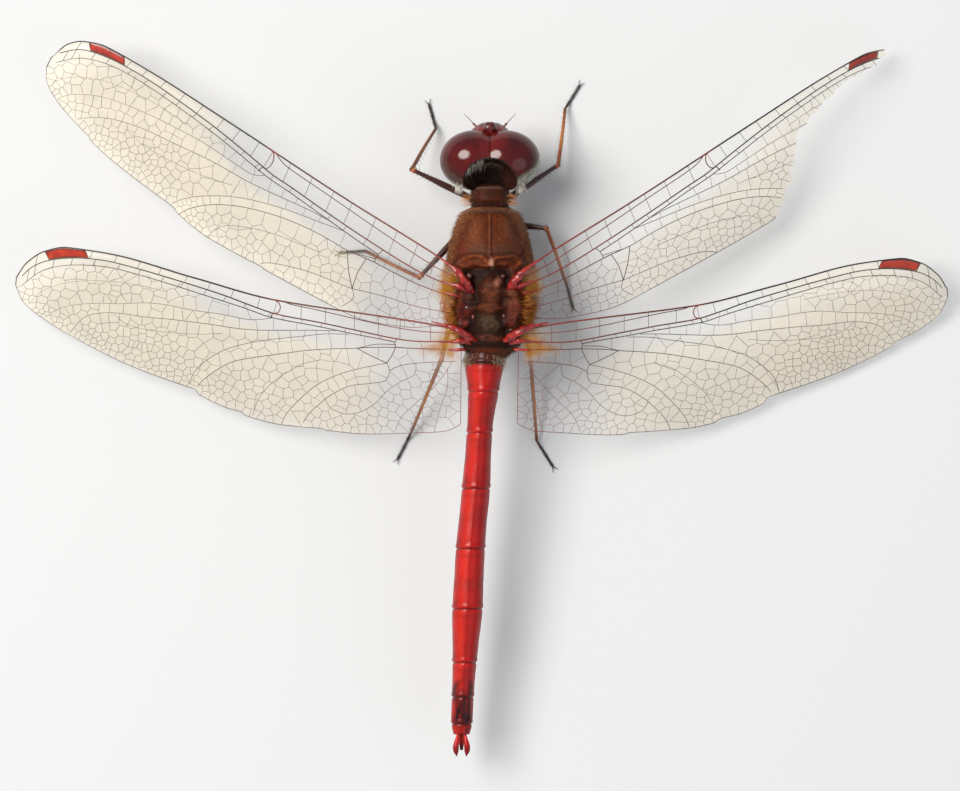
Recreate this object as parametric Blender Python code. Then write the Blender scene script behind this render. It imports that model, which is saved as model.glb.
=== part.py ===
"""A male darter dragonfly, life size: a still model that stands on its six feet.

The head faces -Y and the tail +Y, the animal's left side is +X, and the floor is z = 0.
Sizes are in millimetres, and MM turns them into metres when a mesh is made. The left and
right wings share their outlines, and each wing has its own sweep, pitch and droop.
"""
import math

import bmesh
import bpy
from mathutils import Matrix, Vector

MM = 0.001
GAP = 0.2                     # between pieces that touch on the living animal
SHARP_ANGLE = math.radians(50)

# Head, in its own frame: the middle of the eyes is the origin, before the head is tipped.
HEAD_CENTRE = (0.0, -7.4, 5.3)
HEAD_PITCH = math.radians(36)  # the crown leans forward
EYE_OFFSET = 1.0               # of each eye's middle from the midline
EYE_RADII = (2.18, 1.85, 2.0)
EYE_RISE = 0.25
CAPSULE_MIDDLE = (0.0, -0.1, -0.3)
CAPSULE_RADII = (2.1, 1.5, 1.85)
NAPE_HOLLOW_MIDDLE = (0.0, 4.0, 0.5)   # the egg that hollows the back of the head
NAPE_HOLLOW_RADII = (2.3, 3.2, 3.2)
FACE_MIDDLE = (0.0, -1.45, 0.15)
FACE_RADII = (1.55, 1.2, 1.5)
VERTEX_MIDDLE = (0.0, -1.45, 1.5)
VERTEX_RADII = (0.5, 0.45, 0.65)
MOUTH_MIDDLE = (0.0, -1.0, -1.55)
MOUTH_RADII = (1.2, 1.0, 0.8)
ANTENNA_ROOT = (0.85, -2.0, 1.1)
ANTENNA_TIP = (1.65, -3.3, 0.8)
ANTENNA_RADIUS = 0.25

# Segments and rings of the egg-shaped pieces: plain, small and fine ones.
EGG_SEGMENTS, EGG_RINGS = 20, 12
SMALL_SEGMENTS, SMALL_RINGS = 12, 8
FINE_SEGMENTS, FINE_RINGS = 26, 16

NECK_RADIUS = 0.6
NECK_FRONT = -6.95
NECK_REAR = -6.1
NECK_HEIGHT = 4.85
NECK_SIDES = 12

# Trunk sections: place along Y, half width, height of the widest line, rise above it,
# depth below it, and how much the flanks lean in towards the back.
PROTHORAX = (
    (-5.95, 0.95, 4.9, 0.95, 1.2, 0.0),
    (-5.6, 1.25, 4.85, 1.3, 1.6, 0.1),
    (-5.05, 1.3, 4.8, 1.35, 1.7, 0.1),
    (-4.75, 1.15, 4.75, 1.2, 1.6, 0.1),
)
THORAX = (
    (-4.5, 1.4, 4.4, 1.5, 1.4, 0.2),
    (-4.0, 1.98, 4.4, 2.45, 2.0, 0.25),
    (-2.9, 2.42, 4.5, 3.25, 2.35, 0.3),
    (-1.7, 2.68, 4.7, 3.6, 2.65, 0.28),
    (0.0, 2.95, 4.9, 3.25, 2.85, 0.12),
    (1.5, 2.9, 5.0, 3.0, 2.8, 0.1),
    (3.3, 2.35, 5.3, 2.5, 2.4, 0.1),
    (4.2, 1.75, 5.7, 1.85, 1.7, 0.05),
    (4.6, 1.3, 5.9, 1.35, 1.35, 0.0),
)
TRUNK_SQUARENESS = 2.4          # 2 is an ellipse, and more is boxier
TRUNK_SIDES = 20
TRUNK_LENGTHS = 12              # stretches between the rings of a trunk body

# Abdomen: place along Y, sideways place, height, half width and half depth.
ABDOMEN = (
    (4.8, 0.3, 5.9, 1.2, 1.25),
    (5.2, 0.35, 5.9, 1.25, 1.3),
    (7.0, 0.42, 5.8, 1.0, 1.3),
    (8.1, 0.53, 5.65, 0.88, 1.1),
    (9.6, 0.66, 5.5, 0.8, 0.95),
    (13.1, 0.88, 5.15, 0.88, 0.92),
    (16.9, 1.23, 4.85, 0.91, 0.93),
    (20.7, 1.42, 4.5, 0.95, 0.92),
    (24.1, 1.6, 4.1, 0.76, 0.82),
    (26.3, 1.72, 3.85, 0.7, 0.72),
    (28.0, 1.78, 3.65, 0.7, 0.6),
    (28.7, 1.8, 3.6, 0.55, 0.5),
)
SEGMENT_ENDS = (4.8, 5.2, 7.0, 9.6, 13.1, 16.9, 20.7, 24.1, 26.3, 28.0, 28.7)
SEGMENT_RINGS = 4
ABDOMEN_SIDES = 16
ABDOMEN_LEAN = 0.14            # the section narrows to the ridge along the back

CERCUS_SPREAD = 0.33           # of each cercus from the abdomen's line
CERCUS_START = 28.85
CERCUS_END = 30.1
CERCUS_HEIGHT = 3.75
CERCUS_RADIUS = 0.23
EPIPROCT_END = 29.7
EPIPROCT_HEIGHT = 3.2

# Wing outlines: share of the wing's length, and distance behind the wing's own axis.
FORE_LEAD = ((0.0, -0.4), (0.05, -0.65), (0.3, -1.4), (0.6, -2.5), (0.8, -3.15),
             (0.9, -3.3), (0.95, -2.95), (0.98, -2.3), (1.0, -1.0))
FORE_TRAIL = ((0.0, 3.3), (0.08, 4.6), (0.2, 5.5), (0.35, 5.4), (0.53, 5.15),
              (0.65, 4.3), (0.8, 3.3), (0.9, 2.2), (0.96, 1.3), (0.99, 0.5), (1.0, -0.2))
HIND_LEAD = ((0.0, -0.3), (0.1, -0.55), (0.41, -0.95), (0.6, -1.9), (0.8, -2.95),
             (0.89, -3.05), (0.94, -2.6), (0.98, -1.6), (1.0, -0.5))
HIND_TRAIL = ((0.0, 7.0), (0.08, 7.45), (0.25, 8.1), (0.38, 8.1), (0.5, 7.5),
              (0.6, 6.3), (0.75, 4.85), (0.85, 3.6), (0.93, 2.4), (0.98, 1.3), (1.0, 0.2))
# The right forewing is torn: outwards from its first point, this line is its rear edge.
TEAR = ((0.57, 5.0), (0.63, 2.9), (0.69, -0.1), (0.81, -1.75), (0.91, -2.0), (0.955, -2.4))
WING_THICKNESS = 0.5
WING_STRIPS = 16
TORN_STRIPS = 22
CHORD_STRIPS = 5
ROOT_SLANT = 0.5               # how far a wing's root reaches in to the body,
FULL_CHORD = 5.5               # at this distance behind its axis
BEND_START = 0.62              # share of the length where a bent wing turns down

# Each wing: outline, side, hinge, length, sweep, pitch, droop and droop past the bend.
WINGS = {
    "wing_fore_left": ("fore", 1, (1.75, 0.0, 7.9), 30.1, 26.7, 18.6, 10.0, 10.0),
    "wing_fore_right": ("torn", -1, (-1.75, 0.0, 7.9), 30.0, 27.4, 36.5, 10.4, 25.0),
    "wing_hind_left": ("hind", 1, (1.8, 3.4, 7.7), 28.9, 6.5, 29.2, 10.0, 10.0),
    "wing_hind_right": ("hind", -1, (-1.8, 3.4, 7.7), 28.1, 5.2, 30.5, 12.7, 12.7),
}

# Legs: the coxa's middle, then the hip, knee, ankle and toe of each.
COXAE = {"front": (0.75, -5.2, 3.1), "middle": (0.95, -3.7, 2.15), "hind": (1.0, -2.3, 2.0)}
COXA_RADII = {"front": (0.5, 0.5, 0.75), "middle": (0.6, 0.6, 0.65), "hind": (0.65, 0.7, 0.6)}
HIPS = {"front": (1.05, -5.15, 2.6), "middle": (1.3, -3.6, 1.8), "hind": (1.35, -1.95, 1.6)}
LEGS = {
    "front_left": ((4.95, -7.02, 3.2), (3.44, -9.68, 0.4), (3.9, -11.3)),
    "front_right": ((-4.32, -7.32, 2.2), (-4.78, -10.94, 0.4), (-5.73, -12.5)),
    "middle_left": ((4.47, -0.19, 2.8), (7.94, -1.92, 0.4), (9.68, -1.79)),
    "middle_right": ((-3.6, -3.3, 2.6), (-4.9, 0.3, 0.4), (-5.3, 1.8)),
    "hind_left": ((3.09, 5.04, 3.0), (4.98, 9.58, 0.4), (5.92, 11.4)),
    "hind_right": ((-2.58, 5.04, 3.0), (-2.98, 10.17, 0.4), (-4.06, 11.9)),
}
FEMUR_RADIUS = 0.3
KNEE_RADIUS = 0.26
TIBIA_RADIUS = 0.25
FOOT_RADIUS = 0.25
FOOT_FLAT = 0.06               # how deep the floor cuts the round foot, which leaves its flat
BALL_SHARE = 0.35              # of the foot's length, from where it lies flat
ROD_SIDES = 8
ROD_END = 0.5                  # a rod's end is rounded over this share of its radius


def clear_scene():
    """Remove every object, so that the file can be run again."""
    for item in list(bpy.data.objects):
        bpy.data.objects.remove(item, do_unlink=True)


def make_material(name, color, roughness, metallic=0.0):
    """A plain Principled material."""
    material = bpy.data.materials.new(name)
    material.use_nodes = True
    shader = material.node_tree.nodes["Principled BSDF"]
    shader.inputs["Base Color"].default_value = (*color, 1.0)
    shader.inputs["Roughness"].default_value = roughness
    shader.inputs["Metallic"].default_value = metallic
    material.diffuse_color = (*color, 1.0)
    return material


def slopes(places, values):
    """The slope at each point of a smooth curve that doesn't overshoot its points."""
    rates = []
    for i in range(len(places) - 1):
        rates.append((values[i + 1] - values[i]) / (places[i + 1] - places[i]))
    inner = [0.0 if a * b <= 0 else 2 * a * b / (a + b) for a, b in zip(rates, rates[1:])]
    return [rates[0], *inner, rates[-1]]


def along(stations, place):
    """The values at a place between stations, read from smooth curves through them."""
    places = [row[0] for row in stations]
    place = min(max(place, places[0]), places[-1])
    k = max(i for i in range(len(places) - 1) if places[i] <= place)
    step = places[k + 1] - places[k]
    t = (place - places[k]) / step
    result = []
    for column in range(1, len(stations[0])):
        values = [row[column] for row in stations]
        tangents = slopes(places, values)
        start = (1 + 2 * t) * (1 - t) ** 2 * values[k] + t * (1 - t) ** 2 * step * tangents[k]
        end = t * t * (3 - 2 * t) * values[k + 1] - t * t * (1 - t) * step * tangents[k + 1]
        result.append(start + end)
    return result


def loft(rings):
    """A closed body through rings that all have the same number of points."""
    mesh = bmesh.new()
    loops = [[mesh.verts.new(point) for point in ring] for ring in rings]
    for near, far in zip(loops, loops[1:]):
        for i in range(len(near)):
            j = (i + 1) % len(near)
            mesh.faces.new((near[i], near[j], far[j], far[i]))
    mesh.faces.new(loops[0])
    mesh.faces.new(loops[-1])
    bmesh.ops.recalc_face_normals(mesh, faces=mesh.faces)
    return mesh


def section(centre, forward, half_width, rise, depth, lean, squareness, sides):
    """A ring across forward: rounded, and leaning in by lean towards its top."""
    forward = Vector(forward).normalized()
    across = forward.cross(Vector((0.0, 0.0, 1.0))).normalized()
    upward = across.cross(forward)
    ring = []
    for i in range(sides):
        angle = math.tau * (i + 0.5) / sides
        reach = math.copysign(abs(math.sin(angle)) ** (2 / squareness), math.sin(angle))
        height = math.copysign(abs(math.cos(angle)) ** (2 / squareness), math.cos(angle))
        x = half_width * reach * (1 - lean * max(height, 0.0))
        z = height * (rise if height > 0 else depth)
        ring.append(Vector(centre) + across * x + upward * z)
    return ring


def trunk_body(stations, grow=0.0):
    """A loft through trunk sections, made bigger all round by grow."""
    rings = []
    first, last = stations[0][0], stations[-1][0]
    for i in range(TRUNK_LENGTHS + 1):
        place = first + (last - first) * i / TRUNK_LENGTHS
        half_width, middle, rise, depth, lean = along(stations, place)
        y = place + grow * (2 * (place - first) / (last - first) - 1)
        rings.append(section((0, y, middle), (0, 1, 0), half_width + grow, rise + grow,
                             depth + grow, lean, TRUNK_SQUARENESS, TRUNK_SIDES))
    return loft(rings)


def ellipsoid(middle, radii, grow=0.0, segments=EGG_SEGMENTS, rings=EGG_RINGS):
    """A closed egg shape, made bigger all round by grow."""
    mesh = bmesh.new()
    bmesh.ops.create_uvsphere(mesh, u_segments=segments, v_segments=rings, radius=1.0)
    size = Matrix.Diagonal((*(radius + grow for radius in radii), 1.0))
    bmesh.ops.transform(mesh, matrix=Matrix.Translation(middle) @ size, verts=mesh.verts)
    return mesh


def rod(points, radii, grow=0.0, sides=ROD_SIDES):
    """A round bar along points, with a radius at each of them and rounded ends."""
    points = [Vector(point) for point in points]
    first = (points[1] - points[0]).normalized()
    last = (points[-1] - points[-2]).normalized()
    path = [points[0] - first * grow, points[0] + first * radii[0] * ROD_END, *points[1:-1],
            points[-1] - last * radii[-1] * ROD_END, points[-1] + last * grow]
    sizes = [radii[0] * ROD_END, radii[0], *radii[1:-1], radii[-1], radii[-1] * ROD_END]
    rings = []
    for i, (point, size) in enumerate(zip(path, sizes)):
        forward = path[min(i + 1, len(path) - 1)] - path[max(i - 1, 0)]
        rings.append(section(point, forward, size + grow, size + grow, size + grow,
                             0.0, 2.0, sides))
    return loft(rings)


def cut_flat(mesh, point, normal):
    """Cut away what lies on the normal's side of a plane, and close the cut."""
    geometry = [*mesh.verts, *mesh.edges, *mesh.faces]
    cut = bmesh.ops.bisect_plane(mesh, geom=geometry, plane_co=point, plane_no=normal,
                                 clear_outer=True)
    rim = [edge for edge in cut["geom_cut"] if isinstance(edge, bmesh.types.BMEdge)]
    bmesh.ops.holes_fill(mesh, edges=rim)
    bmesh.ops.recalc_face_normals(mesh, faces=mesh.faces)
    return mesh


def add_object(name, mesh, material, parent, place=(0.0, 0.0, 0.0)):
    """A named object from a mesh in millimetres, placed under its parent."""
    bmesh.ops.scale(mesh, vec=(MM, MM, MM), verts=mesh.verts)
    data = bpy.data.meshes.new(name)
    mesh.to_mesh(data)
    mesh.free()
    data.shade_smooth()
    data.set_sharp_from_angle(angle=SHARP_ANGLE)
    item = bpy.data.objects.new(name, data)
    bpy.context.scene.collection.objects.link(item)
    item.parent = parent
    item.location = Vector(place) * MM
    if material:
        data.materials.append(material)
    return item


def add_cutter(name, mesh, parent, place=(0.0, 0.0, 0.0)):
    """A body that only cuts others, and isn't part of the model."""
    cutter = add_object(name, mesh, None, parent, place)
    cutter.hide_render = True
    cutter.display_type = "WIRE"
    return cutter


def cut_by(item, *cutters):
    """Cut an object with each of the cutters."""
    for cutter in cutters:
        boolean = item.modifiers.new(cutter.name, "BOOLEAN")
        boolean.operation = "DIFFERENCE"
        boolean.solver = "EXACT"
        boolean.object = cutter


def add_empty(name, place=(0.0, 0.0, 0.0), parent=None):
    """An empty that other objects hang from."""
    empty = bpy.data.objects.new(name, None)
    bpy.context.scene.collection.objects.link(empty)
    empty.location = Vector(place) * MM
    empty.parent = parent
    return empty


def build_head(body, materials, rooms):
    """The head capsule, eyes, face, vertex, mouth and feelers, tipped forward as one."""
    head = add_empty("head_frame", HEAD_CENTRE, body)
    head.rotation_euler = (HEAD_PITCH, 0.0, 0.0)
    hollow = ellipsoid(NAPE_HOLLOW_MIDDLE, NAPE_HOLLOW_RADII, 0.0,
                       FINE_SEGMENTS, FINE_RINGS)
    hollow = add_cutter("nape_hollow", hollow, head)
    capsule_room = add_cutter("capsule_room", ellipsoid(CAPSULE_MIDDLE, CAPSULE_RADII, GAP), head)
    face_room = add_cutter("face_room", ellipsoid(FACE_MIDDLE, FACE_RADII, GAP), head)
    vertex_room = add_cutter("vertex_room", ellipsoid(VERTEX_MIDDLE, VERTEX_RADII, GAP), head)

    capsule = add_object("head", ellipsoid(CAPSULE_MIDDLE, CAPSULE_RADII), materials["nape"], head)
    cut_by(capsule, hollow, rooms["neck"], rooms["prothorax"])
    face = add_object("face", ellipsoid(FACE_MIDDLE, FACE_RADII), materials["face"], head)
    cut_by(face, capsule_room)
    mouth = add_object("mouth", ellipsoid(MOUTH_MIDDLE, MOUTH_RADII), materials["mouth"], head)
    cut_by(mouth, capsule_room, face_room)
    mouth_room = add_cutter("mouth_room", ellipsoid(MOUTH_MIDDLE, MOUTH_RADII, GAP), head)
    vertex = ellipsoid(VERTEX_MIDDLE, VERTEX_RADII, 0.0, SMALL_SEGMENTS, SMALL_RINGS)
    vertex = add_object("vertex", vertex, materials["face"], head)
    cut_by(vertex, capsule_room, face_room)

    for side, name in ((1, "left"), (-1, "right")):
        middle = (side * EYE_OFFSET, 0.0, EYE_RISE)
        globe = ellipsoid(middle, EYE_RADII, 0.0, FINE_SEGMENTS, FINE_RINGS)
        cut_flat(globe, (side * GAP / 2, 0, 0), (-side, 0, 0))
        eye = add_object("eye_" + name, globe, materials["eye"], head)
        cut_by(eye, capsule_room, face_room, mouth_room, vertex_room, hollow, rooms["prothorax"])
        root = Vector((side * ANTENNA_ROOT[0], *ANTENNA_ROOT[1:]))
        tip = Vector((side * ANTENNA_TIP[0], *ANTENNA_TIP[1:]))
        line = (root, (root + tip) / 2, tip)
        feeler = add_object("antenna_" + name, rod(line, [ANTENNA_RADIUS] * 3),
                            materials["leg"], head)
        cut_by(feeler, face_room)
        cut_by(eye, add_cutter("antenna_room_" + name,
                               rod(line, [ANTENNA_RADIUS] * 3, GAP), head))


def build_trunk(body, materials):
    """The neck, prothorax and thorax. Returns the room that each needs round it."""
    places = [(0, y, NECK_HEIGHT) for y in (NECK_FRONT, (NECK_FRONT + NECK_REAR) / 2, NECK_REAR)]
    neck = rod(places, [NECK_RADIUS] * 3, 0.0, NECK_SIDES)
    add_object("neck", neck, materials["nape"], body)
    add_object("prothorax", trunk_body(PROTHORAX), materials["thorax"], body)
    add_object("thorax", trunk_body(THORAX), materials["thorax"], body)
    return {
        "neck": add_cutter("neck_room", rod(places, [NECK_RADIUS] * 3, GAP, NECK_SIDES), body),
        "prothorax": add_cutter("prothorax_room", trunk_body(PROTHORAX, GAP), body),
        "thorax": add_cutter("thorax_room", trunk_body(THORAX, GAP), body),
    }


def build_abdomen(body, materials):
    """Ten segments, the two cerci and the epiproct between them."""
    for number, (start, end) in enumerate(zip(SEGMENT_ENDS, SEGMENT_ENDS[1:]), 1):
        rings = []
        for i in range(SEGMENT_RINGS):
            t = i / (SEGMENT_RINGS - 1)
            y = start + GAP / 2 + t * (end - start - GAP)
            x, z, half_width, half_depth = along(ABDOMEN, y)
            ahead = along(ABDOMEN, y + GAP)
            forward = (ahead[0] - x, GAP, ahead[1] - z)
            rings.append(section((x, y, z), forward, half_width, half_depth, half_depth,
                                 ABDOMEN_LEAN, 2.0, ABDOMEN_SIDES))
        add_object(f"abdomen_{number}", loft(rings), materials["abdomen"], body)
    middle = ABDOMEN[-1][1]
    for side, name in ((1, "left"), (-1, "right")):
        x = middle + side * CERCUS_SPREAD
        points = [(x, y, CERCUS_HEIGHT) for y in
                  (CERCUS_START, (CERCUS_START + CERCUS_END) / 2, CERCUS_END)]
        add_object("cercus_" + name, rod(points, [CERCUS_RADIUS] * 3), materials["abdomen"], body)
    points = [(middle, y, EPIPROCT_HEIGHT) for y in
              (CERCUS_START, (CERCUS_START + EPIPROCT_END) / 2, EPIPROCT_END)]
    add_object("epiproct", rod(points, [CERCUS_RADIUS] * 3), materials["abdomen"], body)


def wing_edges(outline, share):
    """How far behind the wing's axis its front and rear edges are."""
    if outline == "hind":
        return along(HIND_LEAD, share)[0], along(HIND_TRAIL, share)[0]
    rear = along(FORE_TRAIL, share)[0]
    if outline == "torn" and share > TEAR[0][0]:
        k = max(i for i in range(len(TEAR) - 1) if TEAR[i][0] <= share)
        t = (share - TEAR[k][0]) / (TEAR[k + 1][0] - TEAR[k][0])
        rear = (1 - t) * TEAR[k][1] + t * TEAR[k + 1][1]
    return along(FORE_LEAD, share)[0], rear


def wing_point(wing, share, behind):
    """A point of a wing's middle surface, from its hinge."""
    _outline, side, _hinge, length, sweep, pitch, droop, bent_droop = wing
    sweep, pitch, droop, bent_droop = map(math.radians, (sweep, pitch, droop, bent_droop))
    straight = min(share, BEND_START) * length
    bent = max(share - BEND_START, 0.0) * length
    out = straight * math.cos(droop) + bent * math.cos(bent_droop)
    out -= ROOT_SLANT * (1 - share) * behind / FULL_CHORD
    fall = straight * math.sin(droop) + bent * math.sin(bent_droop) + behind * math.sin(pitch)
    back = behind * math.cos(pitch)
    x = side * (out * math.cos(sweep) + back * math.sin(sweep))
    y = back * math.cos(sweep) - out * math.sin(sweep)
    return Vector((x, y, -fall))


def build_wings(body, materials, rooms):
    """Four plates that follow each wing's slope and bend, cut where they meet the thorax."""
    for name, wing in WINGS.items():
        torn = wing[0] == "torn"
        end = TEAR[-1][0] if torn else 1.0
        strips = TORN_STRIPS if torn else WING_STRIPS
        pitch = math.radians(wing[5])
        thickness = Vector((0, 0, WING_THICKNESS / 2 / math.cos(pitch)))
        rings = []
        for i in range(strips + 1):
            share = end * (i / strips if torn else math.sin(math.pi / 2 * i / strips))
            front, rear = wing_edges(wing[0], share)
            chord = [front + (rear - front) * j / CHORD_STRIPS for j in range(CHORD_STRIPS + 1)]
            line = [wing_point(wing, share, behind) for behind in chord]
            rings.append([p + thickness for p in line] + [p - thickness for p in reversed(line)])
        plate = loft(rings)
        bmesh.ops.triangulate(plate, faces=[f for f in plate.faces if len(f.verts) > 4])
        blade = add_object(name, plate, materials["wing"], body, wing[2])
        cut_by(blade, rooms["thorax"])


def build_legs(body, materials, rooms):
    """A coxa, femur, tibia and foot for each leg."""
    for name, (knee, ankle, toe) in LEGS.items():
        pair, side_name = name.split("_")
        side = 1 if side_name == "left" else -1
        hip = Vector((side * HIPS[pair][0], *HIPS[pair][1:]))
        knee = Vector(knee)
        ankle = Vector(ankle)
        bones = (hip, (hip + knee) / 2, knee)
        radii = (FEMUR_RADIUS, FEMUR_RADIUS, KNEE_RADIUS)
        add_object("femur_" + name, rod(bones, radii), materials["leg"], body)
        femur_room = add_cutter("femur_room_" + name, rod(bones, radii, GAP), body)
        middle = (side * COXAE[pair][0], *COXAE[pair][1:])
        coxa = ellipsoid(middle, COXA_RADII[pair], 0.0, SMALL_SEGMENTS, SMALL_RINGS)
        coxa = add_object("coxa_" + name, coxa, materials["leg"], body)
        trunk_room = rooms["prothorax"] if pair == "front" else rooms["thorax"]
        cut_by(coxa, trunk_room, femur_room)

        shin = (ankle - knee).normalized()
        top = knee + shin * (KNEE_RADIUS + GAP)
        tibia = rod((top, (top + ankle) / 2, ankle), [TIBIA_RADIUS] * 3)
        add_object("tibia_" + name, tibia, materials["leg"], body)
        floor_line = FOOT_RADIUS - FOOT_FLAT
        toe = Vector((*toe, floor_line))
        foot_way = (toe - ankle).normalized()
        heel = ankle + foot_way * (TIBIA_RADIUS + GAP)
        ball = heel.lerp(toe, BALL_SHARE)
        ball.z = floor_line
        foot = rod((heel, ball, toe), [FOOT_RADIUS] * 3)
        cut_flat(foot, (0, 0, 0), (0, 0, -1))
        add_object("tarsus_" + name, foot, materials["leg"], body)


def centre_on_floor(body):
    """Move the body so that the middle of its box stands over the origin."""
    bpy.context.view_layer.update()
    depsgraph = bpy.context.evaluated_depsgraph_get()
    xs, ys = [], []
    for item in bpy.data.objects:
        if item.type != "MESH" or item.hide_render:
            continue
        shape = item.evaluated_get(depsgraph)
        for vertex in shape.data.vertices:
            point = shape.matrix_world @ vertex.co
            xs.append(point.x)
            ys.append(point.y)
    body.location = (-(min(xs) + max(xs)) / 2, -(min(ys) + max(ys)) / 2, 0.0)
    bpy.context.view_layer.update()


def build():
    """The whole dragonfly."""
    clear_scene()
    materials = {
        "thorax": make_material("thorax", (0.22, 0.055, 0.02), 0.55),
        "nape": make_material("nape", (0.02, 0.015, 0.012), 0.5),
        "eye": make_material("eye", (0.1, 0.012, 0.012), 0.15),
        "face": make_material("face", (0.25, 0.015, 0.01), 0.3),
        "mouth": make_material("mouth", (0.3, 0.16, 0.06), 0.4),
        "abdomen": make_material("abdomen", (0.62, 0.02, 0.015), 0.35),
        "wing": make_material("wing", (0.6, 0.5, 0.36), 0.2),
        "leg": make_material("leg", (0.06, 0.02, 0.01), 0.4),
    }
    body = add_empty("dragonfly")
    rooms = build_trunk(body, materials)
    build_head(body, materials, rooms)
    build_abdomen(body, materials)
    build_wings(body, materials, rooms)
    build_legs(body, materials, rooms)
    centre_on_floor(body)


build()
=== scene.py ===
"""A male darter dragonfly at life size, as a still model that stands on its six feet.

Lengths are millimetres in the design's own frame: the head faces -Y and the tail +Y, the
animal's left side is +X, and the floor is z = 0. to_row turns them into the row frame.
"""
import math
from collections import namedtuple

import bpy
import numpy as np
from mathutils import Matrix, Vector
from mathutils.geometry import delaunay_2d_cdt


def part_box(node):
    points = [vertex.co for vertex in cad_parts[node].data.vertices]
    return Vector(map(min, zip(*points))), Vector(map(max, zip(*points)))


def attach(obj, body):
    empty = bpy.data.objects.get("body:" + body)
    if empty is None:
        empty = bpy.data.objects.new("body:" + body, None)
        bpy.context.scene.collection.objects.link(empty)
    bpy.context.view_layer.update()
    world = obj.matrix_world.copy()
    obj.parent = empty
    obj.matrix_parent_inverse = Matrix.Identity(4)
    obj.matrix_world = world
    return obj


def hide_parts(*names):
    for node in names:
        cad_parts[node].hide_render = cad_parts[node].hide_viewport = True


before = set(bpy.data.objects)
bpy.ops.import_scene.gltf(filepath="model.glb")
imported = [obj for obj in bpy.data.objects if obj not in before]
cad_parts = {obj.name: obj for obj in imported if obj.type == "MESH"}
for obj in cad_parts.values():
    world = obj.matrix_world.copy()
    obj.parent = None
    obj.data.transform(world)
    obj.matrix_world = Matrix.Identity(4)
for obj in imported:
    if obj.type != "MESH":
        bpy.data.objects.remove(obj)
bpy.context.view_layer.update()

# ---------------------------------------------------------------- sizes shared with the CAD
MM = 0.001
HEAD_CENTRE = (0.0, -7.4, 5.3)
HEAD_PITCH = math.radians(36)
EYE_OFFSET = 1.0
EYE_RADII = (2.18, 1.85, 2.0)
EYE_RISE = 0.25
EYE_SEAM = 0.006
CAPSULE_MIDDLE = (0.0, -0.1, -0.3)
CAPSULE_RADII = (2.1, 1.5, 1.85)
NAPE_HOLLOW_MIDDLE = (0.0, 4.0, 0.5)
NAPE_HOLLOW_RADII = (2.3, 3.2, 3.2)
FACE_MIDDLE = (0.0, -1.45, 0.15)
FACE_RADII = (1.55, 1.2, 1.5)
VERTEX_MIDDLE = (0.0, -1.45, 1.5)
VERTEX_RADII = (0.5, 0.45, 0.65)
MOUTH_MIDDLE = (0.0, -1.0, -1.55)
MOUTH_RADII = (1.2, 1.0, 0.8)
ANTENNA_ROOT = (0.85, -2.0, 1.1)
ANTENNA_TIP = (1.65, -3.3, 0.8)
NECK = ((-6.95, 0.5, 4.85, 0.5, 0.5, 0.0), (-6.2, 0.6, 4.88, 0.6, 0.6, 0.0))
PROTHORAX = (
    (-5.95, 0.95, 4.9, 0.95, 1.2, 0.0),
    (-5.6, 1.25, 4.85, 1.3, 1.6, 0.1),
    (-5.05, 1.3, 4.8, 1.35, 1.7, 0.1),
    (-4.75, 1.15, 4.75, 1.2, 1.6, 0.1),
)
THORAX = (
    (-4.5, 1.4, 4.4, 1.5, 1.4, 0.2),
    (-4.0, 1.98, 4.4, 2.45, 2.0, 0.25),
    (-2.9, 2.42, 4.5, 3.25, 2.35, 0.3),
    (-1.7, 2.68, 4.7, 3.6, 2.65, 0.28),
    (0.0, 2.95, 4.9, 3.25, 2.85, 0.12),
    (1.5, 2.9, 5.0, 3.0, 2.8, 0.1),
    (3.3, 2.35, 5.3, 2.5, 2.4, 0.1),
    (4.2, 1.75, 5.7, 1.85, 1.7, 0.05),
    (4.6, 1.3, 5.9, 1.35, 1.35, 0.0),
)
TRUNK_SQUARENESS = 2.4
ABDOMEN = (
    (4.8, 0.3, 5.9, 1.2, 1.25),
    (5.2, 0.35, 5.9, 1.25, 1.3),
    (7.0, 0.42, 5.8, 1.0, 1.3),
    (8.1, 0.53, 5.65, 0.88, 1.1),
    (9.6, 0.66, 5.5, 0.8, 0.95),
    (13.1, 0.88, 5.15, 0.88, 0.92),
    (16.9, 1.23, 4.85, 0.91, 0.93),
    (20.7, 1.42, 4.5, 0.95, 0.92),
    (24.1, 1.6, 4.1, 0.76, 0.82),
    (26.3, 1.72, 3.85, 0.7, 0.72),
    (28.0, 1.78, 3.65, 0.7, 0.6),
    (28.7, 1.8, 3.6, 0.55, 0.5),
)
SEGMENT_ENDS = (4.8, 5.2, 7.0, 9.6, 13.1, 16.9, 20.7, 24.1, 26.3, 28.0, 28.7)
ABDOMEN_LEAN = 0.14
CERCUS_START = 28.7
CERCUS_END = 30.1
CERCUS_HEIGHT = 3.75
EPIPROCT_END = 29.7
EPIPROCT_HEIGHT = 3.2
FORE_LEAD = ((0.0, -0.4), (0.05, -0.65), (0.3, -1.4), (0.6, -2.5), (0.8, -3.15),
             (0.9, -3.3), (0.95, -2.95), (0.98, -2.3), (1.0, -1.0))
FORE_TRAIL = ((0.0, 3.3), (0.08, 4.6), (0.2, 5.5), (0.35, 5.4), (0.53, 5.15),
              (0.65, 4.3), (0.8, 3.3), (0.9, 2.2), (0.96, 1.3), (0.99, 0.5), (1.0, -0.2))
HIND_LEAD = ((0.0, -0.3), (0.1, -0.55), (0.41, -0.95), (0.6, -1.9), (0.8, -2.95),
             (0.89, -3.05), (0.94, -2.6), (0.98, -1.6), (1.0, -0.5))
HIND_TRAIL = ((0.0, 7.0), (0.08, 7.45), (0.25, 8.1), (0.38, 8.1), (0.5, 7.5),
              (0.6, 6.3), (0.75, 4.85), (0.85, 3.6), (0.93, 2.4), (0.98, 1.3), (1.0, 0.2))
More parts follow.
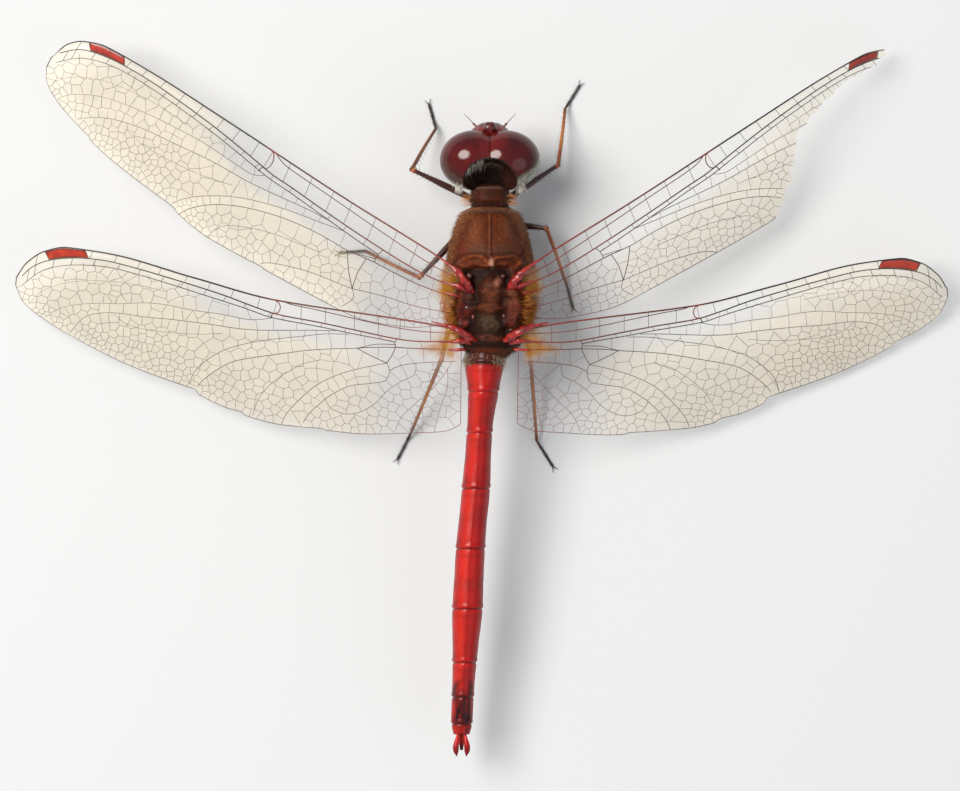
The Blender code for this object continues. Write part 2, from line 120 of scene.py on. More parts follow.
TEAR = ((0.57, 5.0), (0.63, 2.9), (0.69, -0.1), (0.81, -1.75), (0.91, -2.0), (0.955, -2.4))
ROOT_SLANT = 0.5
FULL_CHORD = 5.5
BEND_START = 0.62
BEND_REACH = 0.1              # the bend is spread this far to both sides
LEADS = {"fore": FORE_LEAD, "hind": HIND_LEAD}
TRAILS = {"fore": FORE_TRAIL, "hind": HIND_TRAIL}
# A wing's edge, side, hinge and length, then in degrees how far it is swept forward, how far
# its rear edge hangs, and how far its inner and outer parts droop.
Wing = namedtuple("Wing", "name edge side hinge length sweep pitch droop bent_droop")
WINGS = (
    Wing("wing_fore_left", "fore", 1, (1.75, 0.0, 7.9), 30.1, 26.7, 18.6, 10.0, 10.0),
    Wing("wing_fore_right", "torn", -1, (-1.75, 0.0, 7.9), 30.0, 27.4, 36.5, 10.4, 25.0),
    Wing("wing_hind_left", "hind", 1, (1.8, 3.4, 7.7), 28.9, 6.5, 29.2, 10.0, 10.0),
    Wing("wing_hind_right", "hind", -1, (-1.8, 3.4, 7.7), 28.1, 5.2, 30.5, 12.7, 12.7),
)
# Small steps in the worn rear edges of the whole wings: share of the length, and depth.
NICKS = {
    "wing_fore_left": ((0.4, 0.1), (0.62, 0.14), (0.85, 0.12)),
    "wing_hind_left": ((0.3, 0.12), (0.475, 0.2), (0.58, 0.28)),
    "wing_hind_right": ((0.25, 0.12), (0.456, 0.22), (0.567, 0.34), (0.865, 0.24)),
}
COXAE = {"front": (0.75, -5.2, 3.1), "middle": (0.95, -3.7, 2.15), "hind": (1.0, -2.3, 2.0)}
COXA_RADII = {"front": (0.5, 0.5, 0.75), "middle": (0.6, 0.6, 0.65), "hind": (0.65, 0.7, 0.6)}
HIPS = {"front": (1.05, -5.15, 2.6), "middle": (1.3, -3.6, 1.8), "hind": (1.35, -1.95, 1.6)}
LEGS = {
    "front_left": ((4.95, -7.02, 3.2), (3.44, -9.68, 0.4), (3.9, -11.3)),
    "front_right": ((-4.32, -7.32, 2.2), (-4.78, -10.94, 0.4), (-5.73, -12.5)),
    "middle_left": ((4.47, -0.19, 2.8), (7.94, -1.92, 0.4), (9.68, -1.79)),
    "middle_right": ((-3.6, -3.3, 2.6), (-4.9, 0.3, 0.4), (-5.3, 1.8)),
    "hind_left": ((3.09, 5.04, 3.0), (4.98, 9.58, 0.4), (5.92, 11.4)),
    "hind_right": ((-2.58, 5.04, 3.0), (-2.98, 10.17, 0.4), (-4.06, 11.9)),
}
SIDES = ((1, "left"), (-1, "right"))

# The design's frame lies at the thorax: its middle is x = 0 and its front end y = -4.5.
thorax_low, thorax_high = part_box("thorax")
SHIFT = np.array([(thorax_low.x + thorax_high.x) / 2, thorax_low.y - THORAX[0][0] * MM, 0.0])


def to_row(points):
    """The row frame's metres from the design's millimetres."""
    return np.asarray(points, float) * MM + SHIFT


# ---------------------------------------------------------------- small maths
def unit(vectors):
    """The same vectors, each with length 1."""
    vectors = np.asarray(vectors, float)
    return vectors / np.maximum(np.linalg.norm(vectors, axis=-1, keepdims=True), 1e-12)


def ramp(value, low, high):
    """0 below low, 1 above high, and smooth between them."""
    t = np.clip((np.asarray(value, float) - low) / (high - low), 0.0, 1.0)
    return t * t * (3 - 2 * t)


def band(value, low, high, soft):
    """1 between low and high, fading over soft to each side of them."""
    return ramp(value, low - soft, low + soft) * (1 - ramp(value, high - soft, high + soft))


def hill(value, middle, width):
    """A smooth hump that is 1 at the middle."""
    return np.exp(-((np.asarray(value, float) - middle) / width) ** 2)


def mix(first, second, share):
    """first where share is 0, and second where it is 1."""
    share = np.asarray(share, float)[..., None]
    return np.asarray(first) * (1 - share) + np.asarray(second) * share


def layered(colour, *layers):
    """A colour with others laid over it in turn, each with the share of it that shows."""
    for tone, share in layers:
        colour = mix(colour, tone, share)
    return colour


def rgb(red, green, blue):
    """A linear colour from the usual 0 to 255 values."""
    values = np.array([red, green, blue]) / 255
    return np.where(values <= 0.04045, values / 12.92, ((values + 0.055) / 1.055) ** 2.4)


def xyz(points):
    """The three coordinates of points, apart."""
    return points[..., 0], points[..., 1], points[..., 2]


def scatter(whole, seed):
    """A number from 0 to 1 for each row of whole numbers, always the same one."""
    mixed = (whole.astype(np.uint64) * np.array([73856093, 19349663, 83492791], np.uint64)).sum(-1)
    mixed = (mixed ^ np.uint64(seed * 2654435761 % 2 ** 32)) * np.uint64(0x9E3779B97F4A7C15)
    return (mixed >> np.uint64(40)).astype(float) / 2 ** 24


def noise(points, size, seed=1):
    """Smooth noise from -1 to 1 with lumps about size across."""
    scaled = np.asarray(points, float) / size + 4096.0
    base = np.floor(scaled).astype(np.int64)
    part = scaled - base
    part = part * part * (3 - 2 * part)
    total = 0.0
    for corner in range(8):
        offset = np.array([corner & 1, corner >> 1 & 1, corner >> 2])
        weight = np.where(offset == 1, part, 1 - part).prod(-1)
        total = total + weight * scatter(base + offset, seed)
    return total * 2 - 1


def slopes(places, values):
    """The slope at each point of a smooth curve that doesn't overshoot its points."""
    rates = []
    for i in range(len(places) - 1):
        rates.append((values[i + 1] - values[i]) / (places[i + 1] - places[i]))
    inner = [0.0 if a * b <= 0 else 2 * a * b / (a + b) for a, b in zip(rates, rates[1:])]
    return [rates[0], *inner, rates[-1]]


def along(stations, wanted):
    """The stations' values at the wanted places, a row for each, from smooth curves."""
    table = np.array(stations, float)
    places = table[:, 0]
    wanted = np.clip(np.atleast_1d(wanted), places[0], places[-1])
    k = np.clip(np.searchsorted(places, wanted, side="right") - 1, 0, len(places) - 2)
    step = places[k + 1] - places[k]
    t = (wanted - places[k]) / step
    columns = []
    for column in range(1, table.shape[1]):
        values = table[:, column]
        bent = np.array(slopes(places, values))
        start = (1 + 2 * t) * (1 - t) ** 2 * values[k] + t * (1 - t) ** 2 * step * bent[k]
        end = t * t * (3 - 2 * t) * values[k + 1] - t * t * (1 - t) * step * bent[k + 1]
        columns.append(start + end)
    return np.stack(columns, -1)


def spline(points, step):
    """A smooth path through points, with a point about every step."""
    points = np.asarray(points, float)
    before = np.vstack([2 * points[0] - points[1], points, 2 * points[-1] - points[-2]])
    path = []
    for a, b, c, d in zip(before, before[1:], before[2:], before[3:]):
        count = max(1, round(float(np.linalg.norm(c - b)) / step))
        t = (np.arange(count) / count)[:, None]
        path.append(0.5 * (2 * b + (c - a) * t + (2 * a - 5 * b + 4 * c - d) * t ** 2
                           + (3 * b - a - 3 * c + d) * t ** 3))
    return np.vstack([*path, points[-1:]])


def head_to_design(points):
    """From the head's own frame, which is tipped forward, to the design's frame."""
    points = np.asarray(points, float)
    c, s = math.cos(HEAD_PITCH), math.sin(HEAD_PITCH)
    x, y, z = points[..., 0], points[..., 1], points[..., 2]
    return np.stack([x, y * c - z * s, y * s + z * c], -1) + HEAD_CENTRE


# ---------------------------------------------------------------- meshes
def volume(points, faces):
    """Six times the signed volume inside a closed mesh."""
    total = 0.0
    for group in faces:
        corners = points[group]
        for i in range(1, group.shape[1] - 1):
            cross = np.cross(corners[:, i], corners[:, i + 1])
            total += (corners[:, 0] * cross).sum()
    return total


class Shape:
    """A piece in the making: points in millimetres, faces, paint and places on its map."""

    def __init__(self):
        self.points, self.faces, self.paint, self.places = [], [], [], []
        self.count = 0

    def add(self, solid, paint, places=None):
        """Add a closed solid, which is a pair of points and groups of faces."""
        points, faces = solid
        if volume(points - points.mean(0), faces) < 0:
            faces = [group[:, ::-1] for group in faces]
        self.points.append(points)
        self.faces += [group + self.count for group in faces]
        paint = np.asarray(paint, float)
        self.paint.append(np.broadcast_to(paint, (len(points), paint.shape[-1])))
        if places is not None:
            self.places.append(places)
        self.count += len(points)

    def add_rings(self, rings, paint):
        """Add the closed solid through rings, with a colour for each of their points."""
        paint = paint.reshape(-1, 3)
        self.add(closed(rings), np.concatenate([paint, paint[[0, -1]]]))

    def add_tube(self, path, radii, sides, colour, flat=1.0):
        """Add a round bar along a path, with a colour for each point of the path."""
        rings, _out = bar(path, radii, sides, flat)
        self.add_rings(rings, np.repeat(colour, sides, axis=0))


def add_object(name, data):
    """A new object in the scene."""
    thing = bpy.data.objects.new(name, data)
    bpy.context.scene.collection.objects.link(thing)
    return thing


def add_piece(name, shape, material, nodes=()):
    """The finished object of a shape, on the body, in place of CAD nodes."""
    points = to_row(np.concatenate(shape.points))
    corners = np.concatenate([group.ravel() for group in shape.faces])
    sizes = np.concatenate([np.full(len(group), group.shape[1]) for group in shape.faces])
    mesh = bpy.data.meshes.new(name)
    mesh.vertices.add(len(points))
    mesh.vertices.foreach_set("co", points.ravel())
    mesh.loops.add(len(corners))
    mesh.loops.foreach_set("vertex_index", corners.astype(np.int32))
    mesh.polygons.add(len(sizes))
    starts = np.concatenate([[0], np.cumsum(sizes)[:-1]])
    mesh.polygons.foreach_set("loop_start", starts.astype(np.int32))
    mesh.update(calc_edges=True)
    paint = np.concatenate(shape.paint)
    if paint.shape[1] == 3:
        paint = np.column_stack([paint, np.ones(len(paint))])
    layer = mesh.color_attributes.new("paint", "FLOAT_COLOR", "POINT")
    layer.data.foreach_set("color", np.clip(paint, 0, 1).ravel())
    if shape.places:
        places = np.concatenate(shape.places)[corners]
        mesh.uv_layers.new(name="OFBake").data.foreach_set("uv", places.ravel())
    mesh.shade_smooth()
    mesh.materials.append(material)
    piece = add_object(name, mesh)
    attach(piece, "root")
    if nodes:
        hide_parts(*nodes)


def add_skin(name, rings, paint, material, nodes):
    """A piece that is one closed skin through rings."""
    shape = Shape()
    shape.add_rings(rings, paint)
    add_piece(name, shape, material, nodes)


def closed(rings):
    """A closed solid through rings of points, an array of rings, sides and xyz."""
    rows, sides, _ = rings.shape
    first = np.arange(rows - 1)[:, None] * sides
    j = np.arange(sides)[None]
    k = (j + 1) % sides
    quads = np.stack([first + j, first + k, first + sides + k, first + sides + j], -1)
    start, end = rows * sides, rows * sides + 1
    j, k = j[0], k[0]
    top = (rows - 1) * sides
    tips = np.concatenate([np.stack([k, j, np.full(sides, start)], -1),
                           np.stack([top + j, top + k, np.full(sides, end)], -1)])
    points = np.concatenate([rings.reshape(-1, 3), [rings[0].mean(0)], [rings[-1].mean(0)]])
    return points, [quads.reshape(-1, 4), tips]


def frames(path):
    """Two directions across a path at each point, turned as little as possible along it."""
    way = unit(np.gradient(path, axis=0))
    across = np.cross(way[0], (0, 0, 1) if abs(way[0, 2]) < 0.9 else (1, 0, 0))
    normals = []
    for direction in way:
        across = unit(across - direction * (across @ direction))
        normals.append(across)
    normals = np.array(normals)
    return normals, np.cross(way, normals)


def bar(path, radii, sides, flat=1.0):
    """The rings of a round bar along a path, and the way out from it at each of their points.

    flat scales its height against its width.
    """
    path = np.asarray(path, float)
    across, upward = frames(path)
    angle = math.tau * np.arange(sides) / sides
    out = (np.cos(angle)[None, :, None] * across[:, None]
           + flat * np.sin(angle)[None, :, None] * upward[:, None])
    radii = np.broadcast_to(np.asarray(radii, float), len(path))[:, None, None]
    return path[:, None] + radii * out, out


STRUT_SIDES = 4


def struts(starts, ends, radius):
    """Many thin straight bars at once."""
    starts, ends = np.asarray(starts, float), np.asarray(ends, float)
    way = unit(ends - starts)
    across = unit(np.cross(way, (0.0, 0.0, 1.0)))
    upward = np.cross(way, across)
    sides = STRUT_SIDES
    angle = math.tau * (np.arange(sides) + 0.5) / sides
    ring = radius * (np.cos(angle)[None, :, None] * across[:, None]
                     + np.sin(angle)[None, :, None] * upward[:, None])
    points = np.stack([starts[:, None] + ring, ends[:, None] + ring], 1).reshape(-1, 3)
    first = np.arange(len(starts))[:, None] * 2 * sides
    j = np.arange(sides)[None]
    k = (j + 1) % sides
    walls = np.stack([first + j, first + k, first + sides + k, first + sides + j], -1)
    near = first + np.arange(sides)[None, ::-1]
    far = first + sides + np.arange(sides)[None]
    return points, [walls.reshape(-1, 4), near, far]


def ball(polar, sides):
    """Rings on a ball of radius 1, each at an angle from the pole on the +x side."""
    polar = polar[:, None]
    angle = (math.tau * np.arange(sides) / sides)[None]
    sine = np.sin(polar)
    return np.stack(np.broadcast_arrays(np.cos(polar), sine * np.cos(angle),
                                        sine * np.sin(angle)), -1)


def egg(middle, radii, rows, sides):
    """An egg shape's rings, with its poles along x."""
    return np.array(middle) + ball(np.linspace(0.03, math.pi - 0.03, rows), sides) * radii


def facing(rings):
    """The outward direction at each point of a ring skin."""
    down = np.gradient(rings, axis=0)
    round_ = np.roll(rings, -1, axis=1) - np.roll(rings, 1, axis=1)
    normals = unit(np.cross(round_, down))
    outward = rings - rings.mean(1, keepdims=True)
    return normals * np.sign((normals * outward).sum(-1).mean())


# ---------------------------------------------------------------- materials
def wire(tree, kind, **settings):
    """A new node. Settings name its inputs, or its own properties in lower case."""
    node = tree.nodes.new(kind)
    for key, value in settings.items():
        socket = key.replace("_", " ")
        if key[0].islower():
            setattr(node, key, value)
        elif isinstance(value, bpy.types.NodeSocket):
            tree.links.new(value, node.inputs[socket])
        else:
            node.inputs[socket].default_value = value
    return node


def painted(name, roughness, mottle=0.25, grain=0.25, bump=0.01, bump_size=0.1,
            cells=False, **shader_values):
    """A material in the piece's paint, mottled and grained by nodes, with a fine relief.

    Sizes are millimetres: grain and bump_size of the patterns, and bump the relief's depth.
    """
    material = bpy.data.materials.new(name)
    material.use_nodes = True
    tree = material.node_tree
    shader = tree.nodes["Principled BSDF"]
    place = wire(tree, "ShaderNodeTexCoord").outputs["Object"]
    paint = wire(tree, "ShaderNodeAttribute", attribute_name="paint")
    speckle = wire(tree, "ShaderNodeTexNoise", Vector=place, Scale=1 / (grain * MM), Detail=4.0)
    shade = wire(tree, "ShaderNodeMapRange", Value=speckle.outputs["Fac"], From_Min=0.25,
                 From_Max=0.75, To_Min=1 - mottle, To_Max=1 + mottle)
    toned = wire(tree, "ShaderNodeVectorMath", operation="SCALE", Vector=paint.outputs["Color"],
                 Scale=shade.outputs["Result"])
    tree.links.new(toned.outputs["Vector"], shader.inputs["Base Color"])
    if cells:
        relief = wire(tree, "ShaderNodeTexVoronoi", Vector=place, Scale=1 / (bump_size * MM))
        height = relief.outputs["Distance"]
    else:
        relief = wire(tree, "ShaderNodeTexNoise", Vector=place, Scale=1 / (bump_size * MM),
                      Detail=3.0)
        height = relief.outputs["Fac"]
    raised = wire(tree, "ShaderNodeBump", Height=height, Strength=1.0, Distance=bump * MM,
                  invert=cells)
    tree.links.new(raised.outputs["Normal"], shader.inputs["Normal"])
    shader.inputs["Roughness"].default_value = roughness
    for key, value in shader_values.items():
        shader.inputs[key.replace("_", " ")].default_value = value
    return material


def membrane_material():
    """Clear wing skin: the paint's own alpha says how much of the tint shows."""
    material = painted("membrane", 0.16, mottle=0.1, grain=0.6, bump=0.012, bump_size=0.5)
    tree = material.node_tree
    paint = next(node for node in tree.nodes if node.type == "ATTRIBUTE")
    shader = tree.nodes["Principled BSDF"]
    tree.links.new(paint.outputs["Alpha"], shader.inputs["Alpha"])
    shader.inputs["Specular IOR Level"].default_value = 0.9
    return material


# ---------------------------------------------------------------- colours
MAROON = rgb(84, 13, 13)
MAROON_DARK = rgb(50, 9, 13)
EYE_PALE = rgb(150, 152, 138)
FRONS_RED = rgb(118, 28, 22)
LIP = rgb(176, 128, 70)
RUST = rgb(100, 46, 24)
RUST_DARK = rgb(58, 24, 15)
UMBER = rgb(52, 24, 15)
BLACK = rgb(22, 15, 13)
SCLERITE = rgb(166, 30, 26)
AMBER = rgb(184, 122, 22)
RED = rgb(176, 21, 15)
RED_DARK = rgb(114, 13, 12)
UNDERSIDE = rgb(132, 74, 42)
VEIN_RED = rgb(128, 44, 31)
VEIN_BROWN = rgb(92, 46, 28)
VEIN_BLACK = rgb(26, 19, 16)
VEIN_DARK = rgb(54, 42, 34)
SHIN = rgb(168, 106, 50)
THIGH = rgb(66, 28, 19)
CLEAR_TINT = rgb(206, 204, 198)
SMOKY_TINT = rgb(246, 228, 190)

# ---------------------------------------------------------------- wings
# Veins: points as share of the wing's length and distance behind its axis, then the vein's
# radius and how far it stands above the wing's middle surface.
FORE_VEINS = {
    "Sc": (((0, 0.0), (0.06, 0.05), (0.14, -0.2), (0.24, -0.62), (0.33, -1.02), (0.41, -1.35),
            (0.45, -1.6), (0.478, -2.1)), 0.028, -0.11),
    "R1": (((0, 0.55), (0.06, 0.8), (0.13, 0.74), (0.24, 0.38), (0.33, 0.0), (0.41, -0.38),
            (0.46, -0.58), (0.5, -0.88), (0.55, -1.25), (0.62, -1.72), (0.7, -2.15),
            (0.78, -2.5), (0.86, -2.66), (0.92, -2.53), (0.955, -2.2), (0.985, -1.5)),
           0.041, 0.1),
    "arculus": (((0.18, 0.6), (0.186, 1.0), (0.188, 1.58)), 0.026, 0.0),
    "RP": (((0.186, 1.0), (0.24, 0.78), (0.33, 0.35), (0.41, -0.05), (0.46, -0.25),
            (0.5, -0.52), (0.55, -0.88), (0.62, -1.35), (0.7, -1.78), (0.8, -2.2),
            (0.88, -2.25), (0.94, -1.8), (0.985, -0.8)), 0.03, -0.08),
    "RP2": (((0.475, -0.3), (0.5, 0.0), (0.55, -0.15), (0.62, -0.42), (0.7, -0.5),
             (0.78, -0.45), (0.86, -0.15), (0.92, 0.55), (0.955, 1.5)), 0.018, -0.05),
    "IR1": (((0.67, -1.0), (0.72, -1.25), (0.8, -1.35), (0.88, -1.1), (0.94, -0.4),
             (0.98, 0.75)), 0.014, 0.02),
    "IR2": (((0.31, 0.45), (0.36, 0.42), (0.43, 0.5), (0.5, 0.55), (0.59, 0.42), (0.68, 0.48),
             (0.76, 0.55), (0.83, 0.95), (0.88, 1.7), (0.91, 2.4)), 0.021, 0.06),
    "RP34": (((0.27, 0.62), (0.32, 0.8), (0.37, 0.95), (0.43, 1.2), (0.5, 1.7), (0.56, 2.45),
              (0.61, 3.4), (0.645, 4.6)), 0.019, -0.05),
    "MA": (((0.188, 1.35), (0.22, 1.55), (0.25, 1.68), (0.315, 1.55), (0.38, 1.6), (0.44, 1.85),
            (0.5, 2.3), (0.55, 2.95), (0.59, 3.8), (0.615, 4.8)), 0.022, 0.06),
    "stem": (((0, 1.3), (0.09, 1.6), (0.188, 1.58), (0.206, 1.6)), 0.03, -0.03),
    "triangle_front": (((0.206, 1.6), (0.25, 1.68)), 0.025, 0.02),
    "triangle_inner": (((0.206, 1.6), (0.212, 2.7), (0.21, 3.8)), 0.025, 0.02),
    "triangle_outer": (((0.25, 1.68), (0.232, 2.8), (0.21, 3.8)), 0.025, 0.02),
    "MP": (((0.21, 3.8), (0.25, 3.92), (0.3, 4.05), (0.35, 4.35), (0.4, 4.85), (0.43, 5.7)),
           0.019, -0.05),
    "CuA": (((0.21, 3.8), (0.2, 4.3), (0.21, 4.9), (0.235, 5.8)), 0.018, 0.04),
    "A1": (((0, 2.35), (0.07, 2.95), (0.14, 3.3), (0.21, 3.8)), 0.021, 0.02),
    "Rspl": (((0.53, 1.25), (0.6, 1.55), (0.67, 1.62), (0.74, 1.5), (0.79, 1.05)), 0.014, 0.0),
    "Mspl": (((0.3, 2.6), (0.36, 2.75), (0.42, 2.95), (0.48, 3.45), (0.52, 4.1), (0.54, 5.4)),
             0.014, 0.0),
}
HIND_VEINS = {
    "Sc": (((0, 0.0), (0.09, 0.15), (0.16, 0.05), (0.22, -0.15), (0.28, -0.38), (0.34, -0.6),
            (0.38, -0.72), (0.412, -1.0)), 0.028, -0.11),
    "R1": (((0, 0.5), (0.09, 0.88), (0.15, 0.87), (0.24, 0.58), (0.32, 0.33), (0.41, 0.1),
            (0.47, -0.32), (0.54, -0.9), (0.65, -1.6), (0.73, -2.05), (0.8, -2.35),
            (0.87, -2.3), (0.93, -1.9), (0.965, -1.3), (0.985, -0.6)), 0.041, 0.1),
    "arculus": (((0.142, 0.87), (0.148, 1.2), (0.145, 1.5)), 0.026, 0.0),
    "RP": (((0.148, 1.12), (0.19, 1.0), (0.24, 0.88), (0.31, 0.66), (0.42, 0.38), (0.46, 0.1),
            (0.5, -0.2), (0.58, -0.72), (0.65, -1.18), (0.73, -1.65), (0.8, -1.92),
            (0.88, -1.75), (0.94, -1.15), (0.985, 0.1)), 0.03, -0.08),
    "RP2": (((0.42, 0.38), (0.45, 0.62), (0.48, 0.7), (0.53, 0.55), (0.6, 0.48), (0.65, 0.33),
             (0.7, 0.32), (0.76, 0.6), (0.83, 0.85), (0.89, 1.35), (0.935, 2.4)), 0.018, -0.05),
    "IR1": (((0.66, -0.62), (0.72, -0.85), (0.8, -0.9), (0.88, -0.5), (0.94, 0.4),
             (0.97, 1.7)), 0.014, 0.02),
    "IR2": (((0.28, 0.82), (0.33, 0.95), (0.39, 1.18), (0.45, 1.38), (0.5, 1.43), (0.56, 1.35),
             (0.65, 1.32), (0.7, 1.36), (0.76, 1.3), (0.8, 1.42), (0.84, 1.9), (0.875, 3.4)),
            0.021, 0.06),
    "RP34": (((0.25, 0.95), (0.3, 1.1), (0.355, 1.48), (0.404, 1.82), (0.453, 2.2),
              (0.507, 2.82), (0.54, 3.4), (0.573, 4.3), (0.592, 5.2), (0.6, 6.5)), 0.019, -0.05),
    "MA": (((0.145, 1.3), (0.19, 1.45), (0.231, 1.87), (0.279, 2.09), (0.338, 2.42),
            (0.403, 2.93), (0.478, 3.56), (0.513, 4.0), (0.543, 4.7), (0.572, 5.6),
            (0.59, 6.6)), 0.022, 0.06),
    "stem": (((0, 1.1), (0.05, 1.28), (0.1, 1.42), (0.145, 1.5)), 0.03, -0.03),
    "triangle_front": (((0.145, 1.5), (0.19, 1.66), (0.231, 1.87)), 0.025, 0.02),
    "triangle_inner": (((0.145, 1.5), (0.153, 2.1), (0.164, 2.7)), 0.025, 0.02),
    "triangle_outer": (((0.231, 1.87), (0.2, 2.3), (0.164, 2.7)), 0.025, 0.02),
    "MP": (((0.164, 2.7), (0.2, 3.05), (0.24, 3.5), (0.272, 3.95), (0.307, 4.6), (0.333, 5.3),
            (0.361, 6.3), (0.382, 7.2), (0.395, 8.3)), 0.019, -0.05),
    "CuA": (((0.164, 2.7), (0.158, 3.2), (0.165, 3.95), (0.2, 4.3), (0.245, 4.65), (0.287, 5.5),
             (0.31, 6.2), (0.335, 7.1), (0.352, 8.3)), 0.019, 0.05),
    "A1": (((0, 1.95), (0.05, 2.2), (0.1, 2.48), (0.135, 2.78), (0.157, 3.2)), 0.021, 0.02),
    "loop": (((0.1, 2.48), (0.102, 3.3), (0.132, 3.9), (0.162, 4.7), (0.185, 5.6),
              (0.215, 6.35), (0.25, 6.7), (0.285, 6.4), (0.297, 5.8)), 0.017, -0.03),
    "A2": (((0.02, 2.05), (0.04, 3.2), (0.07, 4.4), (0.1, 5.4), (0.13, 6.5), (0.15, 8.2)),
           0.014, 0.03),
    "A3": (((0.03, 2.6), (0.03, 4.0), (0.045, 5.5), (0.06, 7.6)), 0.014, 0.0),
    "Mspl": (((0.31, 3.0), (0.35, 3.45), (0.373, 3.95), (0.402, 4.65), (0.43, 5.6),
              (0.447, 6.6), (0.458, 8.0)), 0.014, 0.0),
    "Rspl": (((0.53, 1.9), (0.58, 2.15), (0.65, 2.28), (0.7, 2.25), (0.745, 2.0),
              (0.775, 1.4)), 0.014, 0.0),
}
VEINS = {"fore": FORE_VEINS, "hind": HIND_VEINS}
NODUS = {"fore": 0.478, "torn": 0.478, "hind": 0.412}
ARCULUS = {"fore": 0.186, "torn": 0.186, "hind": 0.147}
STIGMA = {"fore": (0.852, 0.935), "torn": (0.86, 0.937), "hind": (0.845, 0.936)}
STIGMA_SLANT = 0.011          # the rear edge lies this share nearer the body
STIGMA_ROWS, STIGMA_COLUMNS = 33, 13
STIGMA_COLOURS = {"fore": (rgb(170, 48, 30), rgb(122, 30, 24)),
                  "hind": (rgb(196, 62, 34), rgb(158, 42, 27))}
# The amber patch beside the body: its reach outwards and along it, and how much shows.
AMBER_PATCH = {"fore": (0.7, 0.9, 0.35), "hind": (1.4, 1.1, 0.62)}
ANTENODALS = {"fore": 8, "torn": 8, "hind": 6}
POSTNODALS = 8
INNER_CROSSINGS, OUTER_CROSSINGS = 6, 9
VEIN_SIDES = 6
NODUS_RADIUS = 0.034
COSTA_RADIUS = 0.052
CROSS_RADIUS = 0.0145
STRONG_CROSS_RADIUS = 0.021
EDGE_RADIUS = 0.02            # of the fine vein round the rear edge
GRID_STEP = 0.05              # of the grid that the wing's cells grow on
MARGIN = 0.06                 # the skin's edge lies this far inside the CAD plate's
OUTLINE_POINTS = 170          # from root to tip, for each edge
INNER_CORNER = 1.3            # how much the hindwing's inner rear corner is cut back
SKIN_THICKNESS = 0.02
SETTLE_ROUNDS = 4             # of moving each cell's middle to its centre
SETTLE_SAMPLES = 60           # places looked at for each cell, on top of a spare few
SPARE_SAMPLES = 200
CORNER_SNAP = 3               # grid steps over which the corners of cells become one
SHORTEST_BORDER = 2           # grid steps, below which a border between cells is left out
BATCH = 2000                  # points handled at once where each meets many others
RIM_CLEARANCE = 0.06          # the skin's inner points stay this far from its edge
VEIN_STEP = 0.35


def kind_of(wing):
    """Which tables the wing uses. A torn one is a forewing."""
    return "hind" if wing.edge == "hind" else "fore"


def wing_lead(wing, share):
    """How far behind the axis the front edge is."""
    return along(LEADS[kind_of(wing)], share)[:, 0]


def wing_trail(wing, share):
    """How far behind the axis the rear edge of a whole wing is."""
    return along(TRAILS[kind_of(wing)], share)[:, 0]


def wing_place(wing, flat, lift=0.0):
    """Points in the design's frame from flat ones: distance out and distance behind."""
    sweep, pitch, droop, bent_droop = map(math.radians, wing[-4:])
    flat = np.asarray(flat, float)
    share, behind = flat[..., 0] / wing.length, flat[..., 1]
    beyond = share - BEND_START
    soft = (np.clip(beyond, -BEND_REACH, BEND_REACH) + BEND_REACH) ** 2 / (4 * BEND_REACH)
    bent = np.where(beyond > BEND_REACH, beyond, soft) * wing.length
    straight = share * wing.length - bent
    out = straight * math.cos(droop) + bent * math.cos(bent_droop)
    out = out - ROOT_SLANT * (1 - share) * behind / FULL_CHORD
    fall = straight * math.sin(droop) + bent * math.sin(bent_droop) + behind * math.sin(pitch)
    back = behind * math.cos(pitch)
    x = wing.side * (out * math.cos(sweep) + back * math.sin(sweep))
    y = back * math.cos(sweep) - out * math.sin(sweep)
    return np.stack([x, y, lift - fall], -1) + wing.hinge


def torn_edge(length, rng):
    """The ragged line along a tear, outwards from the whole rear edge."""
    points = np.array(TEAR) * (length, 1.0)
    line = []
    for start, end in zip(points, points[1:]):
        count = max(2, round(float(np.linalg.norm(end - start)) / 0.42))
        across = unit(np.array([end[1] - start[1], start[0] - end[0]]))
        for i in range(count):
            place = start + (end - start) * i / count
            line.append(place + across * rng.uniform(0.0, 0.32))
    return np.array([*line, points[-1]])


def wing_outline(wing, rng):
    """The closed edge of the wing's skin, in flat millimetres."""
    share = np.sin(np.linspace(0, math.pi / 2, OUTLINE_POINTS))
    lead = np.stack([share * wing.length, wing_lead(wing, share) + MARGIN], -1)
    trail = np.stack([share * wing.length, wing_trail(wing, share) - MARGIN], -1)
    if wing.edge == "torn":
        tear = torn_edge(wing.length, rng)
        lead = lead[lead[:, 0] < tear[-1, 0]]
        return np.concatenate([lead, tear[::-1], trail[trail[:, 0] < tear[0, 0]][::-1]])
    for nick, deep in NICKS[wing.name]:
        beyond = np.maximum(share - nick, 0)
        trail[:, 1] -= deep * ramp(share, nick - 0.004, nick + 0.004) * np.exp(-beyond / 0.05)
    lead[:, 0] -= MARGIN * share ** 8
    trail[:, 0] -= MARGIN * share ** 8
    if wing.edge == "hind":
        trail[:, 1] -= INNER_CORNER * (1 - ramp(share, -0.05, 0.05)) ** 1.5
    return np.concatenate([lead, trail[-2::-1]])


